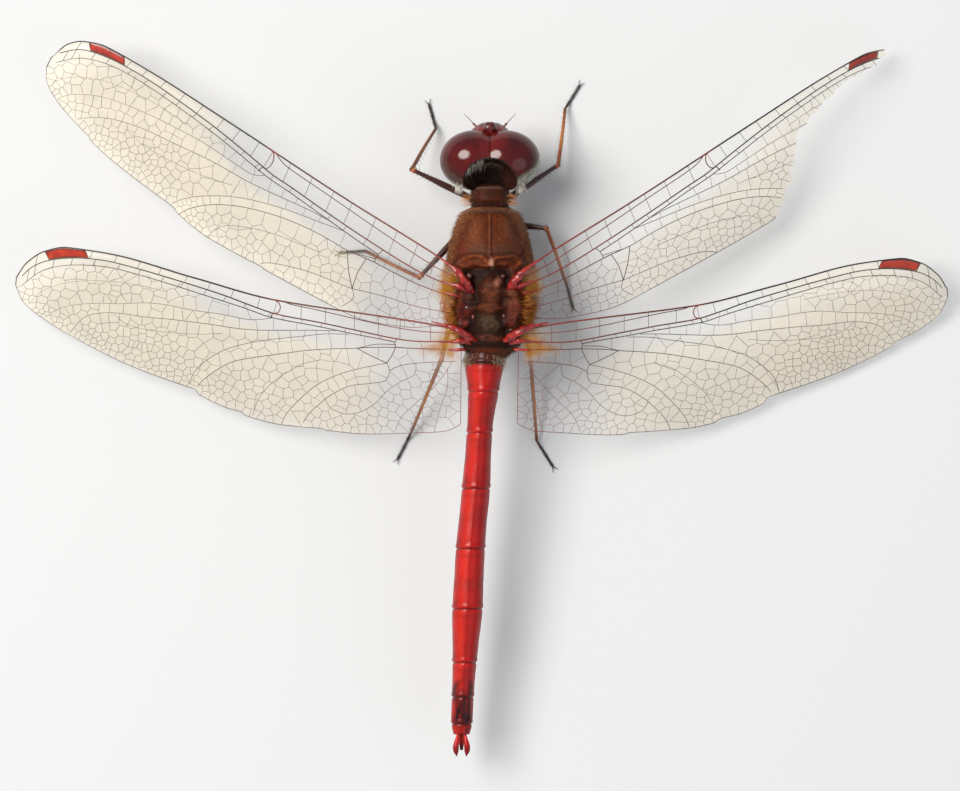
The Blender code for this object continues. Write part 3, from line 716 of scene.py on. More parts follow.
def grid_over(outline):
    """A grid over an outline: its origin, its size and which of its points lie inside."""
    origin = outline.min(0) - 3 * GRID_STEP
    size = np.ceil((outline.max(0) - origin) / GRID_STEP).astype(int) + 4
    inside = np.zeros(size, bool)
    rows = origin[1] + np.arange(size[1]) * GRID_STEP
    for (x0, y0), (x1, y1) in zip(outline, np.roll(outline, -1, axis=0)):
        low, high = sorted((x0, x1))
        first = math.ceil((low - origin[0]) / GRID_STEP)
        last = math.ceil((high - origin[0]) / GRID_STEP)
        if last > first:
            columns = origin[0] + np.arange(first, last) * GRID_STEP
            heights = y0 + (columns - x0) * (y1 - y0) / (x1 - x0)
            inside[first:last] ^= rows[None] > heights[:, None]
    return origin, size, inside


def inside_of(outline, flat):
    """Which flat points lie inside an outline."""
    origin, size, inside = grid_over(outline)
    at = np.clip(np.round((flat - origin) / GRID_STEP).astype(int), 0, size - 1)
    return inside[at[:, 0], at[:, 1]]


def number_regions(free):
    """Number the connected areas of a grid, and give -1 elsewhere."""
    regions = np.full(free.shape, -1)
    owner = []

    def root(i):
        while owner[i] != i:
            i = owner[i]
        return i

    above = []
    for column in range(free.shape[0]):
        steps = np.flatnonzero(np.diff(np.concatenate([[0], free[column].astype(int), [0]])))
        runs = []
        for start, end in zip(steps[::2], steps[1::2]):
            near = [run for run in above if run[0] < end and start < run[1]]
            number = len(owner) if not near else root(near[0][2])
            if not near:
                owner.append(number)
            for run in near[1:]:
                owner[root(run[2])] = number
            regions[column, start:end] = number
            runs.append((start, end, number))
        above = runs
    final = np.array([root(i) for i in range(len(owner))] + [-1])
    return final[regions]


def cell_area(wing, flat):
    """How big a cell is at flat points, in square millimetres."""
    share = flat[:, 0] / wing.length
    front, rear = wing_lead(wing, share), wing_trail(wing, share)
    back = np.clip((flat[:, 1] - front) / np.maximum(rear - front, 0.3), 0, 1)
    area = 0.8 - 0.5 * ramp(back, 0.3, 0.95)
    return area * (1 - 0.42 * ramp(share, 0.25, 0.85))


def settle(places, weights, count, rng):
    """Cell middles spread through a region, and each place's nearest one."""
    wanted = min(len(places), SETTLE_SAMPLES * count + SPARE_SAMPLES)
    few = rng.choice(len(places), wanted, replace=False)
    sample, heavy = places[few], weights[few]
    chance = np.sqrt(heavy) / np.sqrt(heavy).sum()
    middles = sample[rng.choice(len(sample), count, replace=len(sample) < count, p=chance)]
    middles = middles + rng.normal(0, 0.01, middles.shape)
    for _ in range(SETTLE_ROUNDS):
        nearest = ((sample[:, None] - middles[None]) ** 2).sum(-1).argmin(1)
        total = np.bincount(nearest, heavy, count)
        for axis in (0, 1):
            moved = np.bincount(nearest, heavy * sample[:, axis], count)
            middles[:, axis] = np.where(total > 0, moved / np.maximum(total, 1e-9),
                                        middles[:, axis])
    nearest = np.concatenate([((part[:, None] - middles[None]) ** 2).sum(-1).argmin(1)
                              for part in np.array_split(places, len(places) // BATCH + 1)])
    return middles, nearest


def grow_cells(wing, outline, lines, rng):
    """Fill the areas between the long veins with cells. Returns their middles and borders."""
    origin, size, inside = grid_over(outline)
    barrier = np.zeros(size, bool)
    for line in lines:
        fine = spline(line, GRID_STEP * 0.4)
        at = np.round((fine - origin) / GRID_STEP).astype(int)
        at = at[(at >= 0).all(1) & (at < size).all(1)]
        barrier[at[:, 0], at[:, 1]] = True
    regions = number_regions(inside & ~barrier)
    cells = np.where(inside, -1, -2)
    middles, region_of = [], []
    for region in np.unique(regions[regions >= 0]):
        at = np.argwhere(regions == region)
        places = origin + at * GRID_STEP
        area = cell_area(wing, places)
        count = max(1, round(float((GRID_STEP ** 2 / area).sum())))
        found, nearest = settle(places, 1 / area ** 2, count, rng)
        cells[at[:, 0], at[:, 1]] = nearest + len(region_of)
        region_of += [region] * count
        middles.append(found)
    return np.concatenate(middles), cell_borders(cells, np.array(region_of), origin)


def cell_borders(cells, region_of, origin):
    """The straight borders between cells of one region, as pairs of flat ends."""
    blocks = np.stack([cells[:-1, :-1], cells[:-1, 1:], cells[1:, :-1], cells[1:, 1:]], -1)
    ordered = np.sort(blocks, -1)
    kinds = 1 + (np.diff(ordered, axis=-1) != 0).sum(-1)
    meeting, snapped = {}, {}
    for row, column in np.argwhere(kinds >= 3):
        key = (row // CORNER_SNAP, column // CORNER_SNAP)
        place = snapped.setdefault(key, (row, column))
        names = sorted({int(name) for name in blocks[row, column] if name >= 0})
        for i, first in enumerate(names):
            for second in names[i + 1:]:
                if region_of[first] == region_of[second]:
                    meeting.setdefault((first, second), set()).add(place)
    borders = []
    for places in meeting.values():
        spots = np.array(sorted(places), float)
        if len(spots) > 1:
            gaps = ((spots[:, None] - spots[None]) ** 2).sum(-1)
            i, j = np.unravel_index(gaps.argmax(), gaps.shape)
            if gaps[i, j] > SHORTEST_BORDER ** 2:
                borders.append((spots[i], spots[j]))
    return origin + (np.array(borders) + 0.5) * GRID_STEP


def vein_lines(wing):
    """The long veins' flat paths, and the strong front ones as curves of place against share."""
    share = np.linspace(0, 1, 240)
    lines, curves = {}, {"C": (share, wing_lead(wing, share) + MARGIN)}
    for vein, (points, _radius, _height) in VEINS[kind_of(wing)].items():
        lines[vein] = spline(np.array(points) * (wing.length, 1), VEIN_STEP)
        if vein in ("Sc", "R1", "RP"):
            curves[vein] = (lines[vein][:, 0] / wing.length, lines[vein][:, 1])
    return lines, curves


def behind_radius(wing, curves, flat):
    """Which flat points lie behind the strong veins of the front edge."""
    share = flat[:, 0] / wing.length
    inner, outer = [np.interp(share, *curves[vein]) for vein in ("R1", "RP")]
    return flat[:, 1] > np.where(share < ARCULUS[wing.edge], inner, outer)


def front_crossings(wing, outline, curves, rng):
    """The regular crossveins between the strong veins of the front edge."""
    nodus, arculus = NODUS[wing.edge], ARCULUS[wing.edge]
    start, end = STIGMA[wing.edge]
    # Veins to join, first place and reach along the wing, count, phase, looseness and slant.
    rows = (
        (("C", "Sc", "R1"), 0.045, nodus - 0.07, ANTENODALS[wing.edge], 0.5, 0.12, 0.0),
        (("C", "R1"), nodus, start - nodus, POSTNODALS, 0.75, 0.1, 0.006),
        (("R1", "RP"), arculus, nodus - arculus, INNER_CROSSINGS, 0.6, 0.15, 0.004),
        (("R1", "RP"), nodus, start - nodus, OUTER_CROSSINGS, 0.4, 0.15, 0.006),
    )
    crossings = []
    for veins, first, reach, count, phase, loose, slant in rows:
        for i in range(count):
            share = first + reach * (i + phase + rng.uniform(-loose, loose)) / count
            crossings += [(*pair, share, slant) for pair in zip(veins, veins[1:])]
    for share in (start + 0.03, end - 0.02, end + 0.02, end + 0.035):
        crossings.append(("R1", "RP", share, 0.003))
    crossings += [("C", "R1", end + 0.018, 0.003), ("C", "R1", nodus, 0.006)]
    starts, ends = [], []
    for near, far, share, slant in crossings:
        starts.append((share * wing.length, np.interp(share, *curves[near])))
        ends.append(((share + slant) * wing.length, np.interp(share + slant, *curves[far])))
    starts, ends = np.array(starts), np.array(ends)
    whole = inside_of(outline, (starts + ends) / 2)
    return starts[whole], ends[whole]


def corrugation(wing, outline, lines):
    """A function of flat points: how far the pleated skin stands above its middle surface."""
    lead = outline[: len(outline) // 2: 3]
    veins = VEINS[kind_of(wing)]
    samples = np.concatenate([*lines.values(), lead])
    heights = [np.full(len(line), veins[vein][2]) for vein, line in lines.items()]
    heights = np.concatenate([*heights, np.zeros(len(lead))])

    def lift(flat):
        lifts = []
        for part in np.array_split(flat, len(flat) // BATCH + 1):
            gaps = ((part[:, None] - samples[None]) ** 2).sum(-1)
            weight = 1 / (gaps + 0.01)
            weight = weight * weight
            lifts.append((weight * heights).sum(-1) / (weight.sum(-1) + 2.0))
        return np.concatenate(lifts)

    return lift


def clear_of(flat, outline):
    """Which flat points aren't so near the edge that they'd make slivers."""
    fine = spline(np.vstack([outline, outline[:1]]), 0.15)
    gaps = np.concatenate([((part[:, None] - fine[None]) ** 2).sum(-1).min(1)
                           for part in np.array_split(flat, len(flat) // BATCH + 1)])
    return gaps > RIM_CLEARANCE ** 2


def vein_paint(wing, flat, red_until):
    """Red beside the body, then brown, then dark. The nodus is red too."""
    share = flat[:, 0] / wing.length
    front = flat[:, 1] < wing_lead(wing, share) + 1.1
    dark = np.where(front[:, None], VEIN_BLACK, VEIN_DARK)
    return layered(VEIN_RED, (VEIN_BROWN, ramp(share, red_until * 0.3, red_until)),
                   (dark, ramp(share, red_until, red_until + 0.25)),
                   (VEIN_RED, 0.85 * hill(share, NODUS[wing.edge], 0.016) * front))


def skin_paint(wing, flat, curves):
    """The wing skin's tint and how much of it shows, with amber patches beside the body."""
    share = flat[:, 0] / wing.length
    points = np.column_stack([flat, np.zeros(len(flat))])
    cloud = noise(points, 1.6, 5)
    behind = flat[:, 1] - np.interp(share, *curves["RP"])
    tinted = np.clip(0.85 * ramp(behind, 0.2, 1.9) * ramp(share, 0.1, 0.3)
                     + 0.75 * ramp(share, 0.5, 0.72) + 0.08 * cloud, 0, 1)
    colour = mix(CLEAR_TINT, SMOKY_TINT, ramp(tinted, 0.0, 0.5))
    alpha = 0.03 + 0.18 * tinted
    wide, long, most = AMBER_PATCH[kind_of(wing)]
    away = ((flat[:, 0] - 0.6) / wide) ** 2 + ((flat[:, 1] - 0.7) / long) ** 2
    streak = noise(points * (0.3, 1, 1), 0.3, 6)
    amber = np.exp(-away - 1.8 * cloud * ramp(away, 0.1, 0.6)) * (0.85 + 0.6 * streak)
    amber = np.clip(amber, 0, 1)
    colour = mix(colour, AMBER, ramp(amber, 0.02, 0.5))
    alpha = (alpha + (most - alpha) * amber) * ramp(flat[:, 0], MARGIN * 0.5, 0.7)
    return np.column_stack([colour, alpha])


def sheet(wing, outline, flat, lift):
    """A closed thin skin over flat points inside an outline. Returns it and its points."""
    count = len(outline)
    every = np.concatenate([outline, flat])
    edges = [(i, (i + 1) % count) for i in range(count)]
    points, _edges, faces, *_ = delaunay_2d_cdt([Vector(p) for p in every], edges, [], 1, 1e-4)
    points = np.array([(p.x, p.y) for p in points])
    faces = np.array(faces)
    lifts = lift(points)
    top = wing_place(wing, points, lifts + SKIN_THICKNESS / 2)
    bottom = wing_place(wing, points, lifts - SKIN_THICKNESS / 2)
    n = len(points)
    sides = np.concatenate([faces[:, [0, 1]], faces[:, [1, 2]], faces[:, [2, 0]]])
    known = {tuple(pair) for pair in sides.tolist()}
    rim = np.array([pair for pair in sides.tolist() if (pair[1], pair[0]) not in known])
    wall = np.column_stack([rim[:, 1], rim[:, 0], rim[:, 0] + n, rim[:, 1] + n])
    solid = (np.concatenate([top, bottom]), [faces, faces[:, ::-1] + n, wall])
    return solid, np.concatenate([points, points])


def stigma_plate(wing, curves):
    """The thick red cell near the tip, between the costa and the radius."""
    start, end = STIGMA[wing.edge]
    t = np.linspace(0, 1, STIGMA_ROWS)[:, None]
    across = np.linspace(0, 1, STIGMA_COLUMNS)[None]
    share = start + (end - start) * t - STIGMA_SLANT * (across - 0.3)
    front = np.interp(share, *curves["C"]) + 0.02
    rear = np.interp(share, *curves["R1"]) + 0.01
    flat = np.stack([share * wing.length, front + (rear - front) * across], -1)
    dome = 0.05 * (1 - (2 * across - 1) ** 4) * (1 - (2 * t - 1) ** 12)
    top = wing_place(wing, flat, 0.07 + dome)
    bottom = wing_place(wing, flat, -0.02 - dome)
    edge = np.minimum(np.minimum(across, 1 - across) / 0.2 - 0.25, np.minimum(t, 1 - t) / 0.04)
    cloud = noise(np.dstack([flat, np.zeros(share.shape)]), 0.3, 9)
    inner = mix(*STIGMA_COLOURS[kind_of(wing)], np.clip(0.4 + 0.5 * cloud, 0, 1))
    paint = mix(VEIN_BLACK, inner, np.clip(edge, 0, 1))
    paint = np.concatenate([paint, paint[:, ::-1]], axis=1).reshape(-1, 3)
    solid = closed(np.concatenate([top, bottom[:, ::-1]], axis=1))
    return solid, np.concatenate([paint, [BLACK, BLACK]])


def add_long_veins(network, wing, lines, lift):
    """The long veins, which grow thinner towards the tip."""
    for vein, line in lines.items():
        if len(line) > 1:
            taper = 1 - 0.35 * ramp(line[:, 0] / wing.length, 0.4, 1.0)
            colour = vein_paint(wing, line, 0.26 if vein in ("Sc", "R1") else 0.12)
            network.add_tube(wing_place(wing, line, lift(line)),
                             VEINS[kind_of(wing)][vein][1] * taper, VEIN_SIDES, colour)


def margin_line(wing, outline):
    """The part of the edge that has a vein: all of it, unless it is torn."""
    if wing.edge == "torn":
        torn = outline[:, 0] > TEAR[0][0] * wing.length
        torn &= outline[:, 1] > wing_lead(wing, outline[:, 0] / wing.length) + 0.3
        return np.roll(outline, -int(np.flatnonzero(torn)[-1]) - 1, axis=0)[:int((~torn).sum())]
    inner = np.linspace(outline[-1, 1], 1.0, 24)[1:]
    inner = np.column_stack([np.full(len(inner), outline[-1, 0]), inner])
    return np.concatenate([outline, inner])


def add_margin(network, wing, outline):
    """The costa along the front edge and the fine vein round the rest."""
    rim = margin_line(wing, outline)
    share = rim[:, 0] / wing.length
    front = rim[:, 1] < wing_lead(wing, share) + 0.2
    radius = np.where(front, COSTA_RADIUS, EDGE_RADIUS) * (1 - 0.25 * ramp(share, 0.5, 1.0))
    radius = np.convolve(np.pad(radius, 2, mode="edge"), np.ones(5) / 5, mode="valid")
    colour = mix(vein_paint(wing, rim, 0.12), vein_paint(wing, rim, 0.3), front)
    network.add_tube(wing_place(wing, rim), radius, VEIN_SIDES, colour)


def add_nodus(network, wing, curves):
    """The curved red crossvein that joins the front veins halfway out."""
    nodus = NODUS[wing.edge]
    costa, first, second = [np.interp(nodus, *curves[vein]) for vein in ("C", "R1", "RP")]
    line = ((nodus + 0.006, costa), (nodus - 0.003, costa + 0.12),
            (nodus - 0.008, (costa + first) / 2), (nodus - 0.003, first - 0.12),
            (nodus + 0.008, first), (nodus + 0.013, second))
    flat = spline(np.array(line) * (wing.length, 1), 0.06)
    network.add_tube(wing_place(wing, flat), NODUS_RADIUS, VEIN_SIDES, vein_paint(wing, flat, 0.1))


def build_wing(wing, seed, materials):
    """A wing's skin, veins and stigma."""
    rng = np.random.default_rng(seed)
    outline = wing_outline(wing, rng)
    lines, curves = vein_lines(wing)
    middles, borders = grow_cells(wing, outline, list(lines.values()), rng)
    middles = middles[behind_radius(wing, curves, middles)]
    borders = borders[behind_radius(wing, curves, borders.mean(1))]
    crossings = front_crossings(wing, outline, curves, rng)
    lines = {vein: line[inside_of(outline, line)] for vein, line in lines.items()}
    lift = corrugation(wing, outline, lines)
    ending = wing.name.removeprefix("wing")

    flat = np.concatenate([*lines.values(), middles, borders.reshape(-1, 2)])
    solid, places = sheet(wing, outline, flat[clear_of(flat, outline)], lift)
    skin = Shape()
    skin.add(solid, skin_paint(wing, places, curves))
    add_piece("membrane" + ending, skin, materials["membrane"], (wing.name,))

    network = Shape()
    add_long_veins(network, wing, lines, lift)
    add_margin(network, wing, outline)
    add_nodus(network, wing, curves)
    for (starts, ends), radius in ((borders.swapaxes(0, 1), CROSS_RADIUS),
                                   (crossings, STRONG_CROSS_RADIUS)):
        low, high = [wing_place(wing, points, lift(points)) for points in (starts, ends)]
        paint = vein_paint(wing, (starts + ends) / 2, 0.16)
        network.add(struts(low, high, radius), np.repeat(paint, 2 * STRUT_SIDES, axis=0))
    add_piece("veins" + ending, network, materials["vein"])
    plate = Shape()
    plate.add(*stigma_plate(wing, curves))
    add_piece("stigma" + ending, plate, materials["stigma"])


# ---------------------------------------------------------------- trunk
TRUNK_RINGS, TRUNK_SIDES = 230, 220
COAT_DEPTH = 0.1              # how far the skin lies inside the CAD's solids
# The skin draws in behind the prothorax, and it runs on a little into the abdomen.
PROTHORAX_GAP = ((-4.8, 1.25, 4.7, 1.15, 1.4, 0.1), (-4.62, 1.3, 4.55, 1.2, 1.3, 0.1))
THORAX_REAR = (4.75, 1.1, 5.9, 1.15, 1.15, 0.0)
# Pleats between the plates of the flanks: height and place along Y at top and bottom.
FLANK_PLEATS = (((7.5, -1.0), (3.0, -3.9)), ((7.3, 0.9), (2.6, -2.6)), ((7.0, 2.9), (2.4, -0.9)))
# Mounds on the back between the wings: middle, radii, height and colour.
NOTUM = (
    (-0.13, 0.7, 0.74, 0.76, 0.56, rgb(98, 50, 30)),
    (-0.57, 0.15, 0.2, 0.36, 0.24, rgb(140, 88, 70)),
    (0.02, 1.78, 0.84, 0.36, 0.5, rgb(92, 46, 26)),
    (0.0, 2.82, 0.8, 0.62, 0.46, rgb(74, 52, 38)),
    (1.64, 1.95, 0.55, 0.45, 0.34, rgb(92, 32, 25)),
    (1.72, 2.75, 0.34, 0.3, 0.3, rgb(112, 48, 38)),
    (-1.45, 1.75, 0.48, 0.62, 0.32, rgb(104, 48, 30)),
    (-1.25, 2.65, 0.3, 0.3, 0.32, rgb(94, 36, 30)),
    (-1.3, 0.85, 0.34, 0.26, 0.3, rgb(98, 52, 34)),
    (1.45, 1.05, 0.32, 0.34, 0.2, rgb(74, 38, 30)),
    (0.0, 3.66, 1.1, 0.17, 0.3, rgb(92, 46, 32)),
    (-0.1, -1.05, 0.16, 0.32, 0.2, rgb(172, 122, 100)),
)
LOOP = (1.0, -1.0, 0.85, 0.46)  # the crest in front of each forewing: middle and radii


def trunk_rings():
    """The skin of neck, prothorax and thorax, before its relief."""
    stations = [*NECK, *PROTHORAX[:-1], *PROTHORAX_GAP, *THORAX, THORAX_REAR]
    place = np.linspace(stations[0][0], stations[-1][0], TRUNK_RINGS)
    half_width, middle, rise, depth, lean = along(stations, place).T[:, :, None]
    angle = (math.tau * (np.arange(TRUNK_SIDES) + 0.5) / TRUNK_SIDES)[None]
    reach, height = [np.sign(way) * np.abs(way) ** (2 / TRUNK_SQUARENESS)
                     for way in (np.sin(angle), np.cos(angle))]
    x = (half_width - COAT_DEPTH) * reach * (1 - lean * np.maximum(height, 0))
    z = middle + height * (np.where(height > 0, rise, depth) - COAT_DEPTH)
    return np.stack([x, np.broadcast_to(place[:, None], x.shape), z], -1)


def wander(points):
    """Places on the back, shifted a little so that outlines come out uneven.

    Also gives how far each is from the middle of the crest there, where 1 is on its top.
    """
    x = points[..., 0] + 0.09 * noise(points, 0.5, 13)
    y = points[..., 1] + 0.09 * noise(points, 0.5, 14)
    middle_x, middle_y, wide, long = LOOP
    return x, y, np.sqrt(((np.abs(x) - middle_x) / wide) ** 2 + ((y - middle_y) / long) ** 2)


def mound(x, y, middle_x, middle_y, wide, long):
    """1 on a rounded patch, and 0 outside it."""
    reach = ((x - middle_x) / wide) ** 2 + ((y - middle_y) / long) ** 2
    return np.exp(-0.7 * reach ** 2)


def pleat_lines(z):
    """Each pleat's place along Y at the heights z, and how strongly it shows there."""
    for (top, y_top), (low, y_low) in FLANK_PLEATS:
        yield y_low + (z - low) * (y_top - y_low) / (top - low), band(z, low - 0.4, top, 0.3)


def trunk_relief(points):
    """How far the trunk's skin stands out or in, on its back and on its flanks."""
    x, y, z = xyz(points)
    wide = np.abs(x)
    long = band(y, -4.1, -1.5, 0.12)
    lift = 0.05 * hill(x, 0.0, 0.06) * long - 0.05 * hill(wide, 0.16, 0.1) * long
    lift -= 0.05 * hill(wide, 1.25, 0.5) * band(y, -2.4, -1.6, 0.3)
    x, y, loop = wander(points)
    lift += 0.16 * hill(loop, 1.0, 0.2) * (1 - ramp(y, -0.95, -0.6))
    lift -= 0.12 * hill(loop, 0.45, 0.3) + 0.1 * hill(loop, 1.45, 0.16) * (1 - ramp(y, -1.2, -1))
    lift -= 0.44 * band(y, -0.75, 3.85, 0.14) * band(x, -1.35, 1.7, 0.16)
    for *patch, height, _colour in NOTUM:
        lift += height * mound(x, y, *patch)
    lift -= 0.09 * hill(x, 0.0, 0.05) * band(y, 2.3, 3.4, 0.1)
    lift *= ramp(z, 5.6, 7.0)
    y = points[..., 1]
    folds = 0.03 * hill(y, -5.0, 0.14) - 0.04 * hill(y, -5.36, 0.12)
    for line, strength in pleat_lines(z):
        folds -= 0.09 * hill(y, line, 0.1) * strength
    return lift + folds


def back_paint(points, colour, cloud, fine):
    """The colours of the thorax's back, between and before the wings, with painted shade and a
    painted highlight along the middle ridge of the front.
    """
    x, y, z = xyz(points)
    wide = np.abs(x)
    upper = ramp(z, 5.6, 7.0)
    panel = band(y, -4.15, -1.5, 0.2) * upper
    x_far, y_far, loop = wander(points)
    hollow = band(y_far, -0.75, 4.3, 0.14) * band(x_far, -1.4, 1.75, 0.16) * upper
    crest = mix(rgb(142, 72, 34), rgb(80, 34, 22), 0.5 + 0.5 * fine)
    colour = layered(
        colour,
        (rgb(124, 68, 38), 0.6 * panel * hill(wide, 1.0, 0.5) * (0.7 + 0.5 * cloud)),
        (rgb(78, 50, 38), 0.7 * mound(wide, y, 0.75, -1.75, 0.6, 0.5) * upper),
        (rgb(112, 38, 24), 0.5 * panel * hill(wide, 1.9, 0.25)),
        # painted shade on the animal's right of the middle ridge, and a painted highlight along
        # its top
        (rgb(58, 30, 24), 0.8 * hill(x, -0.07, 0.045) * panel),
        (rgb(150, 96, 62), 0.75 * hill(x, 0.015, 0.03) * panel),
        (rgb(24, 12, 9), 0.92 * hollow),
        (crest, hill(loop, 1.0, 0.22) * (1 - ramp(y_far, -0.95, -0.6)) * upper),
        (rgb(64, 30, 24), 0.7 * hill(loop, 1.4, 0.12) * upper * (1 - ramp(y_far, -1.2, -1.0))))
    for middle_x, middle_y, size_x, size_y, _height, tone in NOTUM:
        place = mound(x_far, y_far, middle_x, middle_y, size_x * 0.96, size_y * 0.96) * upper
        tone = mix(tone, BLACK, np.clip(0.25 + 0.5 * fine + 0.2 * cloud, 0, 0.8))
        colour = mix(colour, tone, place)
    return mix(colour, BLACK, 0.7 * hill(x, 0.0, 0.05) * band(y, 2.3, 3.4, 0.1) * upper)


def trunk_paint(points):
    """The trunk's colours, for its skin and its coat."""
    y, z = points[..., 1], points[..., 2]
    cloud = noise(points, 0.55, 11)
    fine = noise(points, 0.14, 12)
    colour = mix(RUST, RUST_DARK, np.clip(0.4 + 0.4 * cloud + 0.25 * fine, 0, 1))
    colour = back_paint(points, colour, cloud, fine)
    flank = 1 - ramp(z, 5.8, 6.8)
    colour = mix(colour, rgb(158, 96, 52), 0.55 * flank * band(z, 3.2, 6.0, 0.5))
    for line, strength in pleat_lines(z):
        colour = mix(colour, BLACK, 0.85 * hill(y, line, 0.09) * strength * flank)
    collar = hill(y, -4.36, 0.1) * ramp(z, 5.0, 5.8)
    front = mix(rgb(76, 34, 20), rgb(42, 20, 14), 0.4 + 0.5 * cloud)
    return layered(
        colour,
        (UNDERSIDE, 0.7 * (1 - ramp(z, 2.3, 3.0)) * ramp(y, -3.5, -2.0)),
        (rgb(104, 88, 76), np.clip(0.6 + 0.5 * fine, 0, 1) * collar),
        (front, 1 - ramp(y, -4.75, -4.6)),
        (rgb(104, 84, 70), 0.7 * hill(y, -5.8, 0.07) * ramp(z, 3.6, 5.0)),
        # painted shadow in the gap between the prothorax and the thorax
        (BLACK, hill(y, -4.64, 0.1)),
        (BLACK, 0.8 * (1 - ramp(y, -6.1, -5.85))))


def build_trunk(material):
    """One skin for neck, prothorax and thorax. Returns its rings, for the coat."""
    rings = trunk_rings()
    normals = facing(rings)
    lift = trunk_relief(rings) + 0.018 * noise(rings, 0.22, 3)
    rings = rings + normals * lift[..., None]
    add_skin("thorax_skin", rings, trunk_paint(rings), material,
             ("neck", "prothorax", "thorax"))
    return rings


# ---------------------------------------------------------------- abdomen
ABDOMEN_RINGS, ABDOMEN_SIDES = 420, 72
ABDOMEN_FRONT = 4.55          # the skin starts here, inside the thorax
# a paler red for the painted highlight on the lamp side of the abdomen
PAINTED_HIGHLIGHT_RED = rgb(222, 58, 40)
TAIL_SIDES = 16


def abdomen_paint(points, angle):
    """Bright red with black joints, ridge line and rear patches, and a painted highlight down the
    left of the back. angle is 0 on the back.
    """
    y = points[..., 1]
    wide = np.abs(angle)
    cloud = noise(points, 0.8, 21)
    fine = noise(points * (1, 0.4, 1), 0.16, 22)
    below = ramp(wide, 1.75, 2.4)
    colour = layered(
        mix(RED, RED_DARK, np.clip(0.3 + 0.35 * cloud + 0.2 * fine, 0, 1)),
        # painted highlight down the left side of the back, the side towards the key lamp
        (PAINTED_HIGHLIGHT_RED, 0.35 * hill(angle, 0.5, 0.35)),
        (UNDERSIDE, 0.85 * below),
        (BLACK, 0.9 * hill(wide, 2.55, 0.12) * below),
        (RED_DARK, 0.6 * hill(wide, 1.62, 0.12)),
        (rgb(92, 12, 14), 0.75 * hill(angle, 0.0, 0.035) * band(y, 7.4, 27.6, 0.4)))
    for start, joint in zip(SEGMENT_ENDS[1:], SEGMENT_ENDS[2:-1]):
        mark = hill(y, joint - 0.35, 0.22) * hill(wide, 1.15, 0.2)
        colour = layered(
            colour,
            (BLACK, (0.4 + 0.5 * ramp(joint, 9.0, 13.5)) * hill(y, joint + 0.02, 0.055)),
            (rgb(150, 14, 14), 0.45 * hill(y, joint - 0.3, 0.3) * (1 - 0.5 * hill(angle, 0, 0.5))),
            (UMBER, 0.55 * mark),
            (RED_DARK, 0.3 * hill(y, start + 0.5, 0.12)))
    edge = angle + 0.3 * cloud + 0.15 * fine
    patch = band(y + 0.3 * cloud, 26.1, 28.0, 0.25) * band(edge, -1.2, 1.0, 0.25)
    tail = ramp(y, 27.9, 28.1) * hill(edge, -0.2, 0.9)
    smoke = band(y + 0.3 * cloud, 25.3, 26.3, 0.3) * ramp(np.abs(edge), 0.25, 0.9)
    return layered(
        colour,
        (rgb(34, 9, 11), np.clip(0.85 - 0.3 * fine, 0, 1) * patch),
        (rgb(74, 14, 16), np.clip(0.6 + 0.4 * fine, 0, 1) * tail),
        (rgb(52, 12, 12), 0.85 * smoke * (1 - ramp(np.abs(edge), 1.1, 1.5))),
        (rgb(50, 23, 17), 0.93 * (1 - ramp(y + 0.1 * cloud, 5.15, 5.55))),
        (BLACK, 0.8 * hill(y, 5.2, 0.07)))


def build_abdomen(material):
    """One skin for the ten segments. Returns its rings, for its hairs."""
    place = np.linspace(ABDOMEN_FRONT, ABDOMEN[-1][0], ABDOMEN_RINGS)
    x, z, half_width, half_depth = along(ABDOMEN, place).T[:, :, None]
    angle = (math.tau * (np.arange(ABDOMEN_SIDES) + 0.5) / ABDOMEN_SIDES)[None]
    angle = np.where(angle > math.pi, angle - math.tau, angle)
    wide = np.abs(angle)
    y = place[:, None]
    lift = np.full((ABDOMEN_RINGS, ABDOMEN_SIDES), -0.02)
    for joint, following in zip(SEGMENT_ENDS[1:], SEGMENT_ENDS[2:]):
        lift += 0.035 * hill(y, joint - 0.12, 0.13) - 0.075 * hill(y, joint + 0.05, 0.06)
        lift -= 0.012 * hill(y, joint + 0.25, 0.03) + 0.02 * hill(y, (joint + following) / 2, 1)
    lift += 0.03 * (hill(angle, 0, 0.05) + hill(wide, 1.62, 0.08)) * band(y, 7.2, 27.8, 0.4)
    lift += 0.05 * hill(wide, 3.14, 0.3) - 0.12 * hill(wide, 2.6, 0.16)
    lean = 1 - ABDOMEN_LEAN * np.maximum(np.cos(angle), 0)
    rings = np.stack([x + (half_width + lift) * np.sin(angle) * lean,
                      np.broadcast_to(y, lift.shape),
                      z + (half_depth + lift) * np.cos(angle)], -1)
    fine = noise(rings * (1, 0.5, 1), 0.2, 31)
    rings = rings + facing(rings) * (0.008 * fine)[..., None]
    add_skin("abdomen_skin", rings, abdomen_paint(rings, angle), material,
             [f"abdomen_{number}" for number in range(1, 11)])
    return rings


